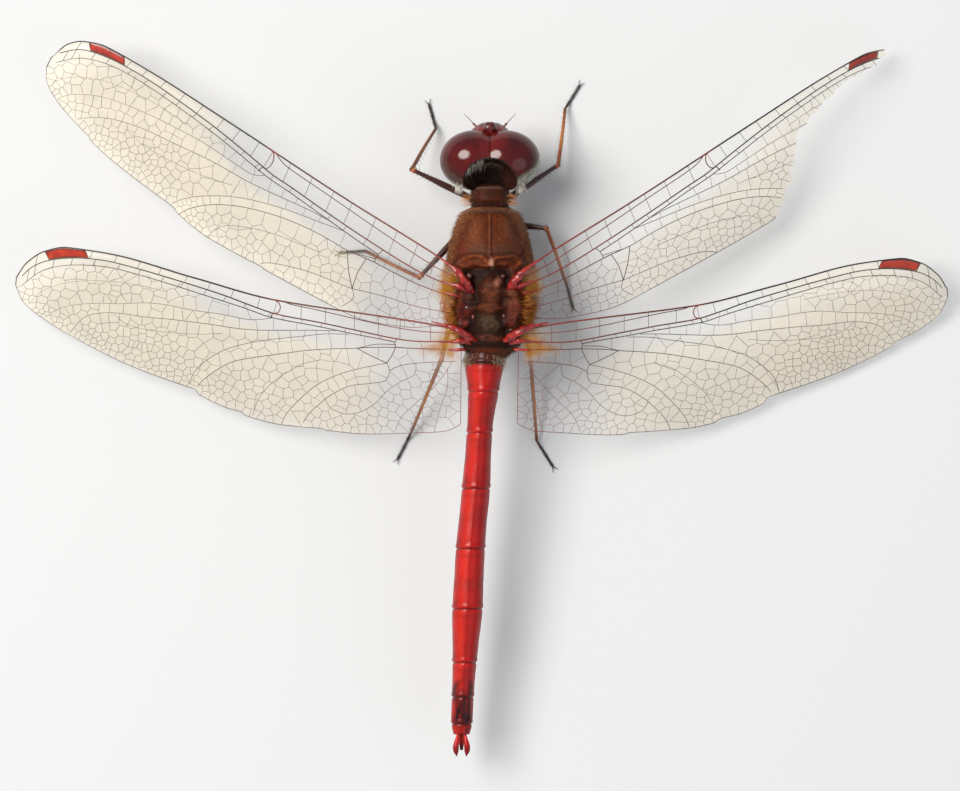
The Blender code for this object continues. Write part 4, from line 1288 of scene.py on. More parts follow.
def build_tail(material):
    """The two cerci and the epiproct between them."""
    middle = ABDOMEN[-1][1]
    for side, name in SIDES:
        path = spline([(middle + side * 0.2, CERCUS_START - 0.1, CERCUS_HEIGHT - 0.02),
                       (middle + side * 0.3, 29.1, CERCUS_HEIGHT + 0.03),
                       (middle + side * 0.36, 29.6, CERCUS_HEIGHT),
                       (middle + side * 0.3, CERCUS_END - 0.03, CERCUS_HEIGHT + 0.06)], 0.06)
        t = np.linspace(0, 1, len(path))
        radius = 0.09 + 0.1 * hill(t, 0.62, 0.3) - 0.075 * ramp(t, 0.8, 1.0)
        colour = layered(rgb(190, 26, 26), (rgb(120, 16, 16), ramp(t, 0.2, 0.8)),
                         (BLACK, ramp(t, 0.88, 1.0)))
        cercus = Shape()
        cercus.add_tube(path, radius, TAIL_SIDES, colour)
        add_piece("cercus_skin_" + name, cercus, material, ("cercus_" + name,))
    path = spline([(middle, CERCUS_START - 0.1, EPIPROCT_HEIGHT + 0.1),
                   (middle, 29.2, EPIPROCT_HEIGHT), (middle, EPIPROCT_END, EPIPROCT_HEIGHT + 0.1)],
                  0.06)
    t = np.linspace(0, 1, len(path))
    colour = mix(rgb(168, 40, 28), rgb(70, 20, 16), ramp(t, 0.4, 1.0))
    plate = Shape()
    plate.add_tube(path, 0.2 - 0.1 * ramp(t, 0.4, 1.0), TAIL_SIDES, colour, 0.8)
    add_piece("epiproct_skin", plate, material, ("epiproct",))


# ---------------------------------------------------------------- head
EYE_ROWS, EYE_SIDES = 120, 180
# The three small eyes on the vertex: middle and radius.
OCELLI = ((0, -1.74, 1.7, 0.13), (0.4, -1.4, 1.62, 0.08), (-0.4, -1.4, 1.62, 0.08))


def nape_gap(points):
    """1 on the wall of the hollow at the back of the head, and more outside it."""
    return np.linalg.norm((points - np.array(NAPE_HOLLOW_MIDDLE)) / NAPE_HOLLOW_RADII, axis=-1)


def press_nape(points):
    """Push what lies inside that hollow out to its wall."""
    away = (points - np.array(NAPE_HOLLOW_MIDDLE)) / NAPE_HOLLOW_RADII
    gap = nape_gap(points)[..., None]
    wall = 1 + 0.02 * np.exp(-np.maximum(1.02 - gap, 0) / 0.02)
    wanted = np.maximum(gap, np.where(gap > 1.02, gap, wall))
    return NAPE_HOLLOW_MIDDLE + away * wanted / np.maximum(gap, 1e-6) * NAPE_HOLLOW_RADII


def eye_paint(points):
    """Maroon above, then brown and grey-green with dark specks, in the head's own frame, with
    painted shade in the seam and painted light that lifts the right eye's pale zone above the
    left's.
    """
    x, y, z = xyz(points)
    cloud = noise(points, 0.7, 41)
    fine = noise(points, 0.12, 42)
    side = np.abs(x) - EYE_OFFSET
    height = z - 0.42 * np.maximum(side, 0) - 0.28 * y
    brown = mix(rgb(74, 34, 22), rgb(50, 23, 18), 0.5 + 0.5 * fine)
    lower = mix(EYE_PALE, rgb(96, 92, 78), np.clip(0.4 + 0.6 * fine, 0, 1))
    # painted light and shade: towards the rear, the right eye's pale lower zone reaches higher and
    # the left eye's lies lower, so more brown shows on the left
    right = np.where(x < 0, 0.8, -0.25) * ramp(y, -0.9, 0.3)
    place = head_to_design(points)
    saddle = hill(place[..., 0], -0.1, 0.5) * ramp(place[..., 1], -8.3, -7.5)
    dark = mix(rgb(20, 14, 13), rgb(52, 34, 26), np.clip(0.5 * cloud + 0.6 * fine, 0, 1))
    dark = mix(dark, rgb(66, 32, 24), 0.4 * ramp(-x, 0.5, 1.2))
    return layered(
        mix(MAROON, MAROON_DARK, np.clip(0.4 + 0.5 * cloud, 0, 1)),
        (rgb(104, 18, 18), 0.6 * hill(side, -0.8, 0.5)),
        (brown, 1 - ramp(height + 0.12 * cloud, -0.6, 0.6)),
        # painted shade down the seam where the two eyes meet
        (rgb(44, 9, 12), 0.4 * hill(x, 0.0, 0.06)),
        (lower, 1 - ramp(height - right + 0.1 * cloud, -1.3, -0.75)),
        (rgb(84, 42, 26), np.clip(0.7 + 0.4 * fine, 0, 1) * saddle),
        (dark, 1 - ramp(nape_gap(points) + 0.02 * fine, 1.015, 1.05)))


def build_eyes(material):
    """Two faceted domes that meet along a seam. Returns their rings."""
    reach = math.acos((EYE_SEAM - EYE_OFFSET) / EYE_RADII[0])
    domes = {}
    for side, name in SIDES:
        dome = ball(np.linspace(0.02, reach, EYE_ROWS), EYE_SIDES) * (side, 1, 1)
        rings = press_nape(dome * np.array(EYE_RADII) * 0.995 + (side * EYE_OFFSET, 0, EYE_RISE))
        inner = np.linspace(1, 0.05, 12)[1:, None, None]
        wall = rings[-1].mean(0) + (rings[-1] - rings[-1].mean(0)) * inner
        wall[..., 0] = side * EYE_SEAM
        whole = np.concatenate([rings, wall])
        add_skin("eye_dome_" + name, head_to_design(whole), eye_paint(whole), material,
                 ("eye_" + name,))
        domes[name] = rings
    return domes


def nape_ridge(x, z):
    """How far a place on the back of the head is from its middle, where 1 is the ridge."""
    return np.sqrt((x / 1.5) ** 2 + ((z + 0.2) / 1.2) ** 2)


def build_skull(material):
    """The capsule between the eyes, near-black in the hollow that the neck sits in."""
    rings = press_nape(egg(CAPSULE_MIDDLE, np.array(CAPSULE_RADII) * 0.99, 90, 120))
    x, y, z = xyz(rings)
    ridge = nape_ridge(x, z)
    lift = (0.07 * hill(ridge, 1.0, 0.08) - 0.1 * hill(ridge, 0.55, 0.3)
            + 0.05 * hill(x, 0, 0.12) * ramp(z, 0.2, 0.8)) * ramp(y, 0.4, 0.8)
    rings = rings + facing(rings) * lift[..., None]
    x, y, z = xyz(rings)
    paint = layered(
        mix(rgb(22, 15, 13), rgb(58, 34, 25), np.clip(0.4 + 0.6 * noise(rings, 0.4, 51), 0, 1)),
        (rgb(120, 92, 66), 0.6 * ramp(np.abs(x), 1.5, 1.85) * ramp(z, -1.6, -0.8)),
        (rgb(120, 80, 48), 0.7 * (1 - ramp(z, -1.7, -1.2))))
    add_skin("head_skin", head_to_design(rings), paint, material, ("head",))
    return rings


def build_face(material):
    """The frons and the clypeus below it."""
    rings = egg(FACE_MIDDLE, np.array(FACE_RADII) * (0.97, 0.97, 0.99), 90, 140)
    x, y, z = xyz(rings)
    lift = -0.13 * hill(x, 0, 0.16) * ramp(z, 0.25, 0.8)
    lift += 0.05 * hill(np.abs(x), 0.5, 0.3) * ramp(z, 0.3, 0.9)
    lift -= 0.1 * hill(z, 0.05 - 0.1 * x ** 2, 0.07) + 0.07 * hill(z, -0.55, 0.06)
    lift = (lift - 0.07 * hill(z, 1.05, 0.06)) * (1 - ramp(y, -1.2, -0.8))
    rings = rings + facing(rings) * (lift + 0.008 * noise(rings, 0.12, 61))[..., None]
    worn = np.clip(0.4 + 0.5 * noise(rings, 0.5, 62) + 0.4 * noise(rings, 0.16, 63), 0, 1)
    paint = layered(
        mix(FRONS_RED, rgb(70, 16, 15), worn),
        (rgb(160, 66, 34), 1 - ramp(z, -0.1, 0.1)),
        (LIP, 0.75 * (1 - ramp(z, -0.65, -0.5))),
        (BLACK, 0.85 * ramp(y, -1.3, -1.05) * ramp(z, 0.3, 0.8)))
    add_skin("face_skin", head_to_design(rings), paint, material, ("face",))


def build_vertex(material):
    """The bump between the eyes, with its three ocelli."""
    rings = egg(VERTEX_MIDDLE, np.array(VERTEX_RADII) * 0.97, 40, 48)
    lift = 0.04 * hill(np.abs(rings[..., 0]), 0.25, 0.12) * ramp(rings[..., 2], 1.7, 2.0)
    rings = rings + facing(rings) * lift[..., None]
    cloud = np.clip(0.4 + 0.7 * noise(rings, 0.16, 64), 0, 1)
    vertex = Shape()
    vertex.add_rings(head_to_design(rings), mix(rgb(96, 24, 20), rgb(46, 13, 12), cloud))
    for *middle, size in OCELLI:
        # the ocelli are paler than the vertex in life, and their colour is lightened further as a
        # painted highlight
        vertex.add(closed(head_to_design(egg(middle, size, 12, 16))), rgb(150, 104, 92))
    add_piece("vertex_skin", vertex, material, ("vertex",))


def build_mouth(material):
    """The lips, parted by dark grooves."""
    rings = egg(MOUTH_MIDDLE, np.array(MOUTH_RADII) * 0.98, 70, 96)
    x, y, z = xyz(rings)
    lower = -1.85 + 0.1 * np.abs(x)
    lift = -0.08 * hill(z, -1.35, 0.05) - 0.07 * hill(z, lower, 0.05)
    lift = (lift - 0.05 * hill(x, 0, 0.05) * (z < -1.35)) * (y < 0.2)
    rings = rings + facing(rings) * lift[..., None]
    groove = np.clip(hill(z, -1.35, 0.06) + hill(z, lower, 0.06)
                     + hill(x, 0, 0.05) * (z < -1.35), 0, 1)
    paint = layered(LIP, (rgb(120, 66, 36), hill(z, -1.9, 0.3)), (BLACK, 0.8 * groove))
    add_skin("mouth_skin", head_to_design(rings), paint, material, ("mouth",))


def build_antennae(material):
    """Two thick joints and a long bristle on each side."""
    root = np.array(ANTENNA_ROOT)
    way = np.array(ANTENNA_TIP) - root
    for side, name in SIDES:
        path = [root + share * way for share in (-0.1, 0.12, 0.26, 0.3, 0.6, 0.98)]
        path[4] = path[4] + (0.02, 0, 0.05)
        path = spline(np.array(path) * (side, 1, 1), 0.05)
        t = np.linspace(0, 1, len(path))
        radius = 0.105 - 0.04 * ramp(t, 0.12, 0.16) - 0.035 * ramp(t, 0.3, 0.38) - 0.015 * t
        radius = np.maximum(radius + 0.02 * hill(t, 0.27, 0.05), 0.016)
        colour = mix(rgb(128, 74, 52), rgb(84, 44, 30), ramp(t, 0.1, 0.35))
        feeler = Shape()
        feeler.add_tube(head_to_design(path), radius, 12, colour)
        add_piece("feeler_" + name, feeler, material, ("antenna_" + name,))


# ---------------------------------------------------------------- legs
FEMUR_WIDEST = 0.225
TIBIA_WIDEST = 0.125
TARSUS_WIDEST = 0.095
TARSUS_HEIGHT = 0.1
DOWN = np.array([0.0, 0.0, -1.0])
# A claw's points from the end of the foot: forwards, sideways and up.
CLAW = ((0, 0, 0), (0.16, 0.1, 0.05), (0.3, 0.17, -0.01), (0.36, 0.18, -0.07))


def add_thorn(shape, root, way, length, thick):
    """A slightly bent black spike."""
    bend = 0.12 * length * DOWN
    way = unit(way) * length
    path = [root, root + way * 0.5 + bend * 0.3, root + way + bend]
    shape.add(closed(bar(path, [thick, thick * 0.65, thick * 0.12], 5)[0]), BLACK)


def spine_places(path, first, last, count):
    """For each spine of a double row: its share of the path, its root there and its side."""
    for share in np.linspace(first, last, count):
        for sign in (-1, 1):
            yield share, path[int(share * (len(path) - 1))], sign


def build_thigh(name, hip, knee, side_way, material, rng):
    """The coxa and the femur, dark above with a warm streak, and the femur's spines."""
    pair, side = name.split("_")
    thigh = Shape()
    middle = np.array(COXAE[pair]) * (1 if side == "left" else -1, 1, 1)
    rings = egg(middle, np.array(COXA_RADII[pair]) * 0.92, 28, 32)
    thigh.add_rings(rings, THIGH * (1 - 0.3 * noise(rings, 0.3, 71)[..., None]))
    reach = knee - hip
    path = spline([hip - 0.05 * reach, hip + 0.12 * reach,
                   hip + 0.5 * reach + (0, 0, 0.05), knee + (0, 0, 0.02)], 0.12)
    t = np.linspace(0, 1, len(path))
    radius = FEMUR_WIDEST * (0.82 + 0.18 * hill(t, 0.35, 0.3)) * (1 - 0.28 * ramp(t, 0.5, 0.95))
    radius = radius - 0.045 * hill(t, 0.12, 0.025) + 0.02 * hill(t, 0.97, 0.04)
    rings, out = bar(path, radius, 20)
    upward, t = out[..., 2], t[:, None]
    warm = np.clip(0.7 * hill(np.abs(upward), 0.55, 0.25) + 0.15, 0, 1)
    thigh.add_rings(rings, layered(THIGH, (rgb(116, 50, 30), warm),
                                   (BLACK, 0.6 * ramp(upward, 0.1, 0.8)),
                                   (rgb(184, 92, 44), 0.9 * ramp(t, 0.93, 0.99)),
                                   (BLACK, 0.7 * hill(t, 0.12, 0.02))))
    for share, root, sign in spine_places(path, 0.2, 0.93, 13):
        way = 0.7 * DOWN + sign * 0.8 * side_way + 0.7 * unit(reach)
        size = (0.16 + 0.28 * share ** 2) * rng.uniform(0.85, 1.1)
        add_thorn(thigh, root + unit(way) * FEMUR_WIDEST * 0.7, way, size, 0.02)
    add_piece("thigh_" + name, thigh, material, ("coxa_" + name, "femur_" + name))


def build_shin(name, knee, ankle, toe, side_way, material, rng):
    """The tibia, pale with a dark outer side, and its two rows of long spines."""
    shin = Shape()
    reach = ankle - knee
    inward = unit(np.cross(unit(reach), side_way))
    bow = np.cross(unit(reach), side_way) * 0.06
    path = spline([knee - 0.02 * reach, knee + 0.04 * reach, knee + 0.5 * reach + bow, ankle], 0.1)
    t = np.linspace(0, 1, len(path))
    radius = TIBIA_WIDEST * (1.0 + 0.25 * hill(t, 0.03, 0.05) - 0.2 * ramp(t, 0.2, 0.9))
    rings, out = bar(path, radius, 14)
    outer = np.clip(-(out * side_way).sum(-1), 0, 1)
    t = t[:, None]
    shin.add_rings(rings, layered(
        SHIN, (rgb(138, 74, 36), 0.5 + 0.5 * np.sin(t * 9)),
        (UMBER, 0.75 * np.maximum(ramp(t, 0.86, 1.0), 1 - ramp(t, 0.0, 0.05))),
        (BLACK, 0.75 * ramp(outer, 0.3, 0.8))))
    inward = inward if inward @ (toe - knee) < 0 else -inward
    for share, root, sign in spine_places(path, 0.08, 0.96, 12):
        way = unit(0.45 * inward + sign * 0.85 * side_way + 0.75 * unit(reach))
        size = (0.68 - 0.3 * share) * rng.uniform(0.85, 1.1)
        if way[2] < 0:
            way[2] = max(way[2], -max(root[2] - 0.05, 0.05) / size * 0.8)
        add_thorn(shin, root + way * 0.06, way, size, 0.017)
    add_piece("shin_skin_" + name, shin, material, ("tibia_" + name,))


def build_foot(name, ankle, toe, material):
    """Three tarsal joints and two hooked claws, which lie on the floor."""
    way = toe - ankle
    way[2] = 0
    forward = unit(way)
    across = unit(np.cross(way, (0, 0, 1.0)))
    ball_of_foot = ankle + 0.32 * (toe - ankle)
    ball_of_foot[2] = TARSUS_HEIGHT
    path = spline([ankle + (0, 0, 0.02), (ankle + ball_of_foot) / 2 + (0, 0, -0.02), ball_of_foot,
                   (ball_of_foot + toe) / 2, toe - 0.06 * way], 0.06)
    t = np.linspace(0, 1, len(path))
    radius = np.full(len(path), TARSUS_WIDEST * 0.8)
    for joint in (0.3, 0.62, 0.97):
        radius += 0.022 * hill(t, joint - 0.03, 0.06) - 0.03 * hill(t, joint + 0.01, 0.015)
    foot = Shape()
    foot.add_tube(path, radius, 12, mix(BLACK, rgb(58, 30, 20), hill(t, 0.15, 0.12)))
    for sign in (-1, 1):
        hook = [path[-1] + forward * out + across * sign * wide + (0, 0, up)
                for out, wide, up in CLAW]
        line = spline(hook, 0.04)
        foot.add_tube(line, np.linspace(0.04, 0.008, len(line)), 8,
                      np.tile(rgb(40, 22, 16), (len(line), 1)))
    for _share, root, sign in spine_places(path, 0.12, 0.9, 9):
        spike = forward + across * sign * 0.8
        add_thorn(foot, root + across * sign * 0.05, spike, 0.16, 0.014)
    add_piece("foot_skin_" + name, foot, material, ("tarsus_" + name,))


def build_leg(name, material, rng):
    """One leg, in three pieces."""
    knee, ankle, toe = LEGS[name]
    pair, side = name.split("_")
    knee, ankle, toe = np.array(knee), np.array(ankle), np.array([*toe, TARSUS_HEIGHT])
    hip = np.array(HIPS[pair]) * (1 if side == "left" else -1, 1, 1)
    side_way = unit(np.cross(unit(knee - hip), DOWN))
    build_thigh(name, hip, knee, side_way, material, rng)
    build_shin(name, knee, ankle, toe, side_way, material, rng)
    build_foot(name, ankle, toe, material)


# ---------------------------------------------------------------- wing roots
# The thick roots of the veins: distance out, behind and above, then the radius at each point.
ROOTS = (
    (((-0.95, 0.42, -0.55), (-0.45, 0.15, -0.2), (0.1, -0.15, 0.0), (0.8, -0.42, 0.04),
      (1.9, -0.62, 0.0)), (0.16, 0.27, 0.22, 0.1, 0.045)),
    (((-0.6, 0.62, -0.45), (-0.1, 0.5, -0.12), (0.5, 0.58, 0.0), (1.4, 0.78, 0.08)),
     (0.12, 0.19, 0.1, 0.035)),
    (((-0.3, 1.1, -0.35), (0.1, 1.15, -0.1), (0.8, 1.3, 0.0)), (0.07, 0.1, 0.025)),
)
# Small shining knobs beside the hinges: place and radius.
KNOBS = (
    (1.3, -0.25, 7.8, 0.15), (1.95, 1.7, 7.05, 0.15), (1.42, 1.75, 7.25, 0.19),
    (1.05, 2.35, 7.25, 0.12), (-0.88, 2.28, 7.4, 0.11), (-1.26, 0.75, 7.45, 0.15),
    (-1.4, 2.7, 7.25, 0.12), (-1.3, 3.2, 7.15, 0.11), (-0.8, -0.2, 7.7, 0.12),
    (1.85, 2.75, 7.15, 0.13), (-1.85, 1.6, 7.05, 0.14), (-0.1, -0.06, 7.72, 0.11),
    (1.2, 3.6, 7.15, 0.12),
)


def lumpy(rings, middle, seed):
    """Rings pushed in and out unevenly, away from their middle line."""
    return middle + (rings - middle) * (1 + 0.3 * noise(rings, 0.22, seed))[..., None]


def root_paint(points, seed):
    """Red with pink and dark patches."""
    cloud = np.clip(0.5 + 0.8 * noise(points, 0.2, seed), 0, 1)
    fine = np.clip(0.3 + 0.9 * noise(points, 0.1, seed + 1), 0, 1)
    return layered(SCLERITE, (rgb(176, 70, 60), 0.5 * fine), (rgb(84, 18, 18), 0.85 * cloud))


def build_wing_roots(material):
    """The red hinge plates that run out into the veins, and the knobs between them."""
    for wing in WINGS:
        roots = Shape()
        for seed, (line, radii) in enumerate(ROOTS, 80):
            line = np.array(line)
            path = spline(wing_place(wing, line[:, :2], line[:, 2]), 0.08)
            share = np.linspace(0, len(radii) - 1, len(path))
            rings, _out = bar(path, np.interp(share, range(len(radii)), radii), 18)
            rings = lumpy(rings, path[:, None], seed)
            roots.add_rings(rings, root_paint(rings, seed))
        add_piece("hinge" + wing.name.removeprefix("wing"), roots, material)
    knobs = Shape()
    for seed, (*middle, size) in enumerate(KNOBS, 90):
        rings = egg(middle, np.array((1.0, 1.25, 0.8)) * size, 16, 20)
        rings = lumpy(rings, np.array(middle), seed)
        cloud = np.clip(0.5 + 0.7 * noise(rings, 0.15, seed), 0, 1)
        knobs.add_rings(rings, mix(rgb(104, 46, 34), rgb(52, 22, 19), cloud))
    add_piece("back_knobs", knobs, material)


# ---------------------------------------------------------------- coat
HAIR_SIDES = 3
HAIR_POINTS = 2 * HAIR_SIDES + 1
COAT_LIMIT = 18000            # hairs in one piece


def hairs(roots, normals, lie, length, thick, places, stand, rng):
    """Many bent three-sided hairs as one solid, and the places of their points on the map."""
    count = len(roots)
    way = unit(normals * stand + lie * (1 - stand) + rng.normal(0, 0.16, (count, 3)))
    way2 = unit(way + lie * 0.7 - normals * 0.15 + rng.normal(0, 0.12, (count, 3)))
    length = np.broadcast_to(length, count)[:, None]
    across = unit(np.cross(way, normals + rng.normal(0, 0.05, (count, 3))))
    upward = np.cross(way, across)
    angle = math.tau * np.arange(HAIR_SIDES) / HAIR_SIDES
    ring = (np.cos(angle)[None, :, None] * across[:, None]
            + np.sin(angle)[None, :, None] * upward[:, None])
    thick = np.broadcast_to(thick, count)[:, None, None]
    base = (roots - normals * 0.03)[:, None] + ring * thick
    waist = (roots + way * length * 0.5)[:, None] + ring * thick * 0.7
    tip = roots + way * length * 0.5 + way2 * length * 0.5
    points = np.concatenate([base, waist, tip[:, None]], 1).reshape(-1, 3)
    first = np.arange(count)[:, None] * HAIR_POINTS
    walls, ends = [], []
    for j in range(HAIR_SIDES):
        k = (j + 1) % HAIR_SIDES
        walls.append(first + np.array([[j, k, 3 + k, 3 + j]]))
        ends.append(first + np.array([[3 + j, 3 + k, 6]]))
    faces = [np.concatenate(walls), np.concatenate(ends + [first + np.array([[2, 1, 0]])])]
    patch = 0.0014 * np.array([[1, 0], [-0.5, 0.87], [-0.5, -0.87], [0.8, 0.2], [-0.5, 0.7],
                               [-0.3, -0.8], [0, 0]])
    spots = (places[:, None] + patch[None]).reshape(-1, 2)
    return (points, faces), spots


def sample_skin(rings, density, rng):
    """Random places on a ring skin: points, normals and places on its unwrapped map.

    density gives how many to expect on a square millimetre at each point.
    """
    corner = rings[:-1]
    down = rings[1:] - corner
    right = np.roll(corner, -1, axis=1) - corner
    normals = facing(rings)[:-1]
    area = np.linalg.norm(np.cross(down, right), axis=-1)
    expected = (area * density(corner)).ravel()
    chosen = np.repeat(np.arange(expected.size), rng.poisson(expected))
    rows, sides = np.unravel_index(chosen, area.shape)
    a, b = rng.random(len(rows)), rng.random(len(rows))
    points = corner[rows, sides] + down[rows, sides] * a[:, None] + right[rows, sides] * b[:, None]
    places = np.stack([(sides + b) / area.shape[1], (rows + a) / area.shape[0]], -1)
    return points, normals[rows, sides], 0.002 + 0.996 * places


def grow_coat(name, rings, density, look, thick, stand, material, rng, on_head=False):
    """Hairs on a ring skin, in as many pieces as keep each of them under the limit.

    look gives their lie in the design's frame, their length and their colour.
    """
    points, normals, places = sample_skin(rings, density, rng)
    if not len(points):
        return
    lie, length, paint = look(points, normals, rng)
    if on_head:
        normals = head_to_design(points + normals) - head_to_design(points)
        points = head_to_design(points)
    order = rng.permutation(len(points))
    for number, part in enumerate(np.array_split(order, len(order) // COAT_LIMIT + 1), 1):
        coat = Shape()
        solid, spots = hairs(points[part], normals[part], lie[part], length[part], thick,
                             places[part], stand, rng)
        coat.add(solid, np.repeat(np.clip(paint[part], 0, 1), HAIR_POINTS, axis=0), spots)
        add_piece(f"{name}_{number}", coat, material)


# Each kind of hair has a density, the number that stand on a square millimetre at each point,
# and a look: which way the hairs lie, how long they are and their colours.
def velvet_density(points):
    """Short hair all over the trunk, sparse between the wings."""
    x, y, z = xyz(points)
    density = 100 - 20 * ramp(z, 6.0, 7.2)
    bare = band(y, -1.2, 3.8, 0.1) * band(x, -1.5, 1.8, 0.15) * ramp(z, 6.3, 7.0)
    gap = hill(y, -4.7, 0.13)
    return density * (1 - 0.93 * bare) * (1 - 0.9 * gap) * ramp(y, -5.9, -5.7)


def velvet_look(points, normals, rng):
    """Lying backwards, in the skin's colours, longer and paler on flanks and collar."""
    _x, y, z = xyz(points)
    length = 0.11 + 0.3 * (1 - ramp(z, 5.4, 7.0)) + 0.1 * ramp(y, 3.2, 4.2)
    length = (length + 0.12 * hill(y, -4.3, 0.2)) * (1 - 0.5 * (1 - ramp(y, -4.8, -4.6)))
    length = length * rng.uniform(0.7, 1.2, len(points))
    lie = unit(np.array([0.0, 1.0, 0.0]) - normals * normals[:, 1:2])
    low = 1 - ramp(z, 4.5, 6.2)
    pale = np.clip(0.05 + 0.15 * noise(points, 0.4, 91) + 0.5 * hill(y, -4.38, 0.13)
                   + 0.4 * low + 0.5 * (1 - ramp(y, -4.2, -2.6)) * low, 0, 0.85)
    return lie, length, mix(trunk_paint(points), rgb(164, 132, 104),
                            pale * rng.uniform(0.2, 0.9, len(points)))


def wing_base_density(points):
    """Tufts on the flanks under the wings."""
    x, y, z = xyz(points)
    return 260 * band(y, -0.7, 3.2, 0.3) * ramp(np.abs(x), 1.9, 2.3) * ramp(z, 5.2, 6.2)


def wing_base_look(points, normals, rng):
    """Long and amber, standing away from the body."""
    length = rng.uniform(0.4, 0.85, len(points))
    paint = mix(rgb(178, 98, 34), rgb(204, 150, 66), rng.random(len(points)))
    paint = mix(paint, rgb(140, 52, 28), 0.8 * rng.random(len(points)) ** 2)
    return unit(normals + np.array([0.0, 0.1, 0.35])), length, paint


def waist_density(points):
    """A thin ring of hair round the first segments, thicker on the sides."""
    x, y, _z = xyz(points)
    return 120 * (1 - ramp(y, 5.0, 5.6)) * (0.1 + ramp(np.abs(x - 0.32), 0.4, 0.9))


def waist_look(points, normals, rng):
    """Straw-coloured, lying backwards."""
    length = rng.uniform(0.2, 0.45, len(points))
    lie = unit(np.array([0.0, 1.0, 0.1]) - normals * normals[:, 1:2])
    return lie, length, mix(rgb(138, 114, 74), rgb(206, 190, 156), rng.random(len(points)))


def nape_density(points):
    """Hair along the ridge and the sides of the back of the head."""
    x, y, z = xyz(points)
    ridge = hill(nape_ridge(x, z), 1.0, 0.14)
    return 130 * ramp(y, 0.4, 0.7) * (ridge + 0.5 * ramp(np.abs(x), 1.4, 1.7))


def nape_look(points, _normals, rng):
    """Brown to grey along the ridge, white and longer at the sides."""
    x = points[:, 0]
    length = (0.3 + 0.35 * ramp(np.abs(x), 1.2, 1.7)) * rng.uniform(0.7, 1.2, len(points))
    lie = unit(np.stack([0.25 * np.sign(x), np.ones(len(x)), np.full(len(x), 0.1)], -1))
    lie = unit(head_to_design(points + lie) - head_to_design(points))
    grey = mix(rgb(78, 56, 42), rgb(132, 122, 110), ramp(x, -0.2, 0.4))
    white = ramp(np.abs(x), 1.1, 1.6) * rng.uniform(0.6, 1, len(x))
    return lie, length, mix(grey, rgb(236, 232, 224), white)


def arch_density(points):
    """Hair along the left half of the arch over the nape."""
    wall = 1 - ramp(nape_gap(points), 1.02, 1.04)
    return 110 * wall * ramp(points[..., 2], 0.6, 1.5) * ramp(points[..., 0], 0.1, 0.6)


def sideways(points, out, back, up):
    """The same slant outwards, backwards and upwards for each point, on its own side."""
    side = np.sign(points[:, :1])
    return unit(np.hstack([out * side, np.full(side.shape, back), np.full(side.shape, up)]))


def arch_look(points, _normals, rng):
    """Grey, hanging back over the hollow."""
    length = rng.uniform(0.3, 0.6, len(points))
    paint = mix(rgb(96, 88, 78), rgb(168, 160, 148), rng.random(len(points)))
    return sideways(points, 0.2, 1.0, -0.25), length, paint


def tuft_density(points):
    """A tuft on the lower rear of each eye."""
    x, y, z = xyz(head_to_design(points))
    near = np.exp(-((np.abs(x) - 1.95) / 0.22) ** 2 - ((y + 5.85) / 0.2) ** 2)
    return 190 * near * (z > 4.0) * ramp(nape_gap(points), 1.02, 1.05)


def tuft_look(points, _normals, rng):
    """White, swept back."""
    length = rng.uniform(0.25, 0.65, len(points))
    paint = mix(rgb(200, 190, 176), rgb(240, 236, 228), rng.random(len(points)))
    return sideways(points, 0.1, 1.0, 0.2), length, paint


def collar_density(points):
    """Tufts on both sides of the prothorax."""
    x, y, z = xyz(points)
    return 80 * ramp(np.abs(x), 0.95, 1.15) * band(y, -5.5, -4.8, 0.1) * band(z, 4.2, 5.8, 0.2)


def collar_look(points, _normals, rng):
    """Orange to cream, standing out to the side."""
    paint = mix(rgb(196, 104, 44), rgb(222, 176, 130), rng.random(len(points)))
    return sideways(points, 1.0, 0.2, 0.3), rng.uniform(0.4, 0.9, len(points)), paint


# Tufts: name, the skin they grow on, their density and look, thickness, and how steeply
# they stand.
TUFTS = (
    ("wing_base_hair", "trunk", wing_base_density, wing_base_look, 0.014, 0.5),
    ("waist_hair", "abdomen", waist_density, waist_look, 0.01, 0.45),
    ("head_hair", "head", nape_density, nape_look, 0.013, 0.5),
    ("arch_hair_left", "head_left", arch_density, arch_look, 0.012, 0.35),
    ("tuft_hair_left", "head_left", tuft_density, tuft_look, 0.012, 0.35),
    ("arch_hair_right", "head_right", arch_density, arch_look, 0.012, 0.35),
    ("tuft_hair_right", "head_right", tuft_density, tuft_look, 0.012, 0.35),
    ("collar_hair", "trunk", collar_density, collar_look, 0.013, 0.3),
)


def build_coats(skins, material):
    """The trunk's velvet, and tufts at the wing bases, the waist and round the head."""
    grow_coat("thorax_coat", skins["trunk"], velvet_density, velvet_look, 0.011, 0.35, material,
              np.random.default_rng(11))
    rng = np.random.default_rng(12)
    for name, skin, density, look, thick, stand in TUFTS:
        grow_coat(name, skins[skin], density, look, thick, stand, material, rng,
                  skin.startswith("head"))


# ---------------------------------------------------------------- stage
VIEW_CENTRE = (0.63, 7.28)    # what the camera looks down on, in the design's millimetres
VIEW_WIDTH = 60.5
VIEW_HEIGHT = 5.5             # the level that the picture's scale belongs to
CAMERA_DISTANCE = 600.0
SENSOR_WIDTH = 36.0
FLOOR_REACH = 2.0             # metres from the middle to each side
FLOOR_DROP = 0.00002          # metres that the floor lies below the feet
# Lamps: the way to them, then distance, width, power and colour.
LAMPS = {
    "key": ((0.63, -0.31, 1.0), 0.5, 0.3, 3.2, (1.0, 0.97, 0.92)),
    "fill": ((-0.9, 0.5, 0.9), 0.6, 0.5, 0.5, (0.9, 0.95, 1.0)),
}


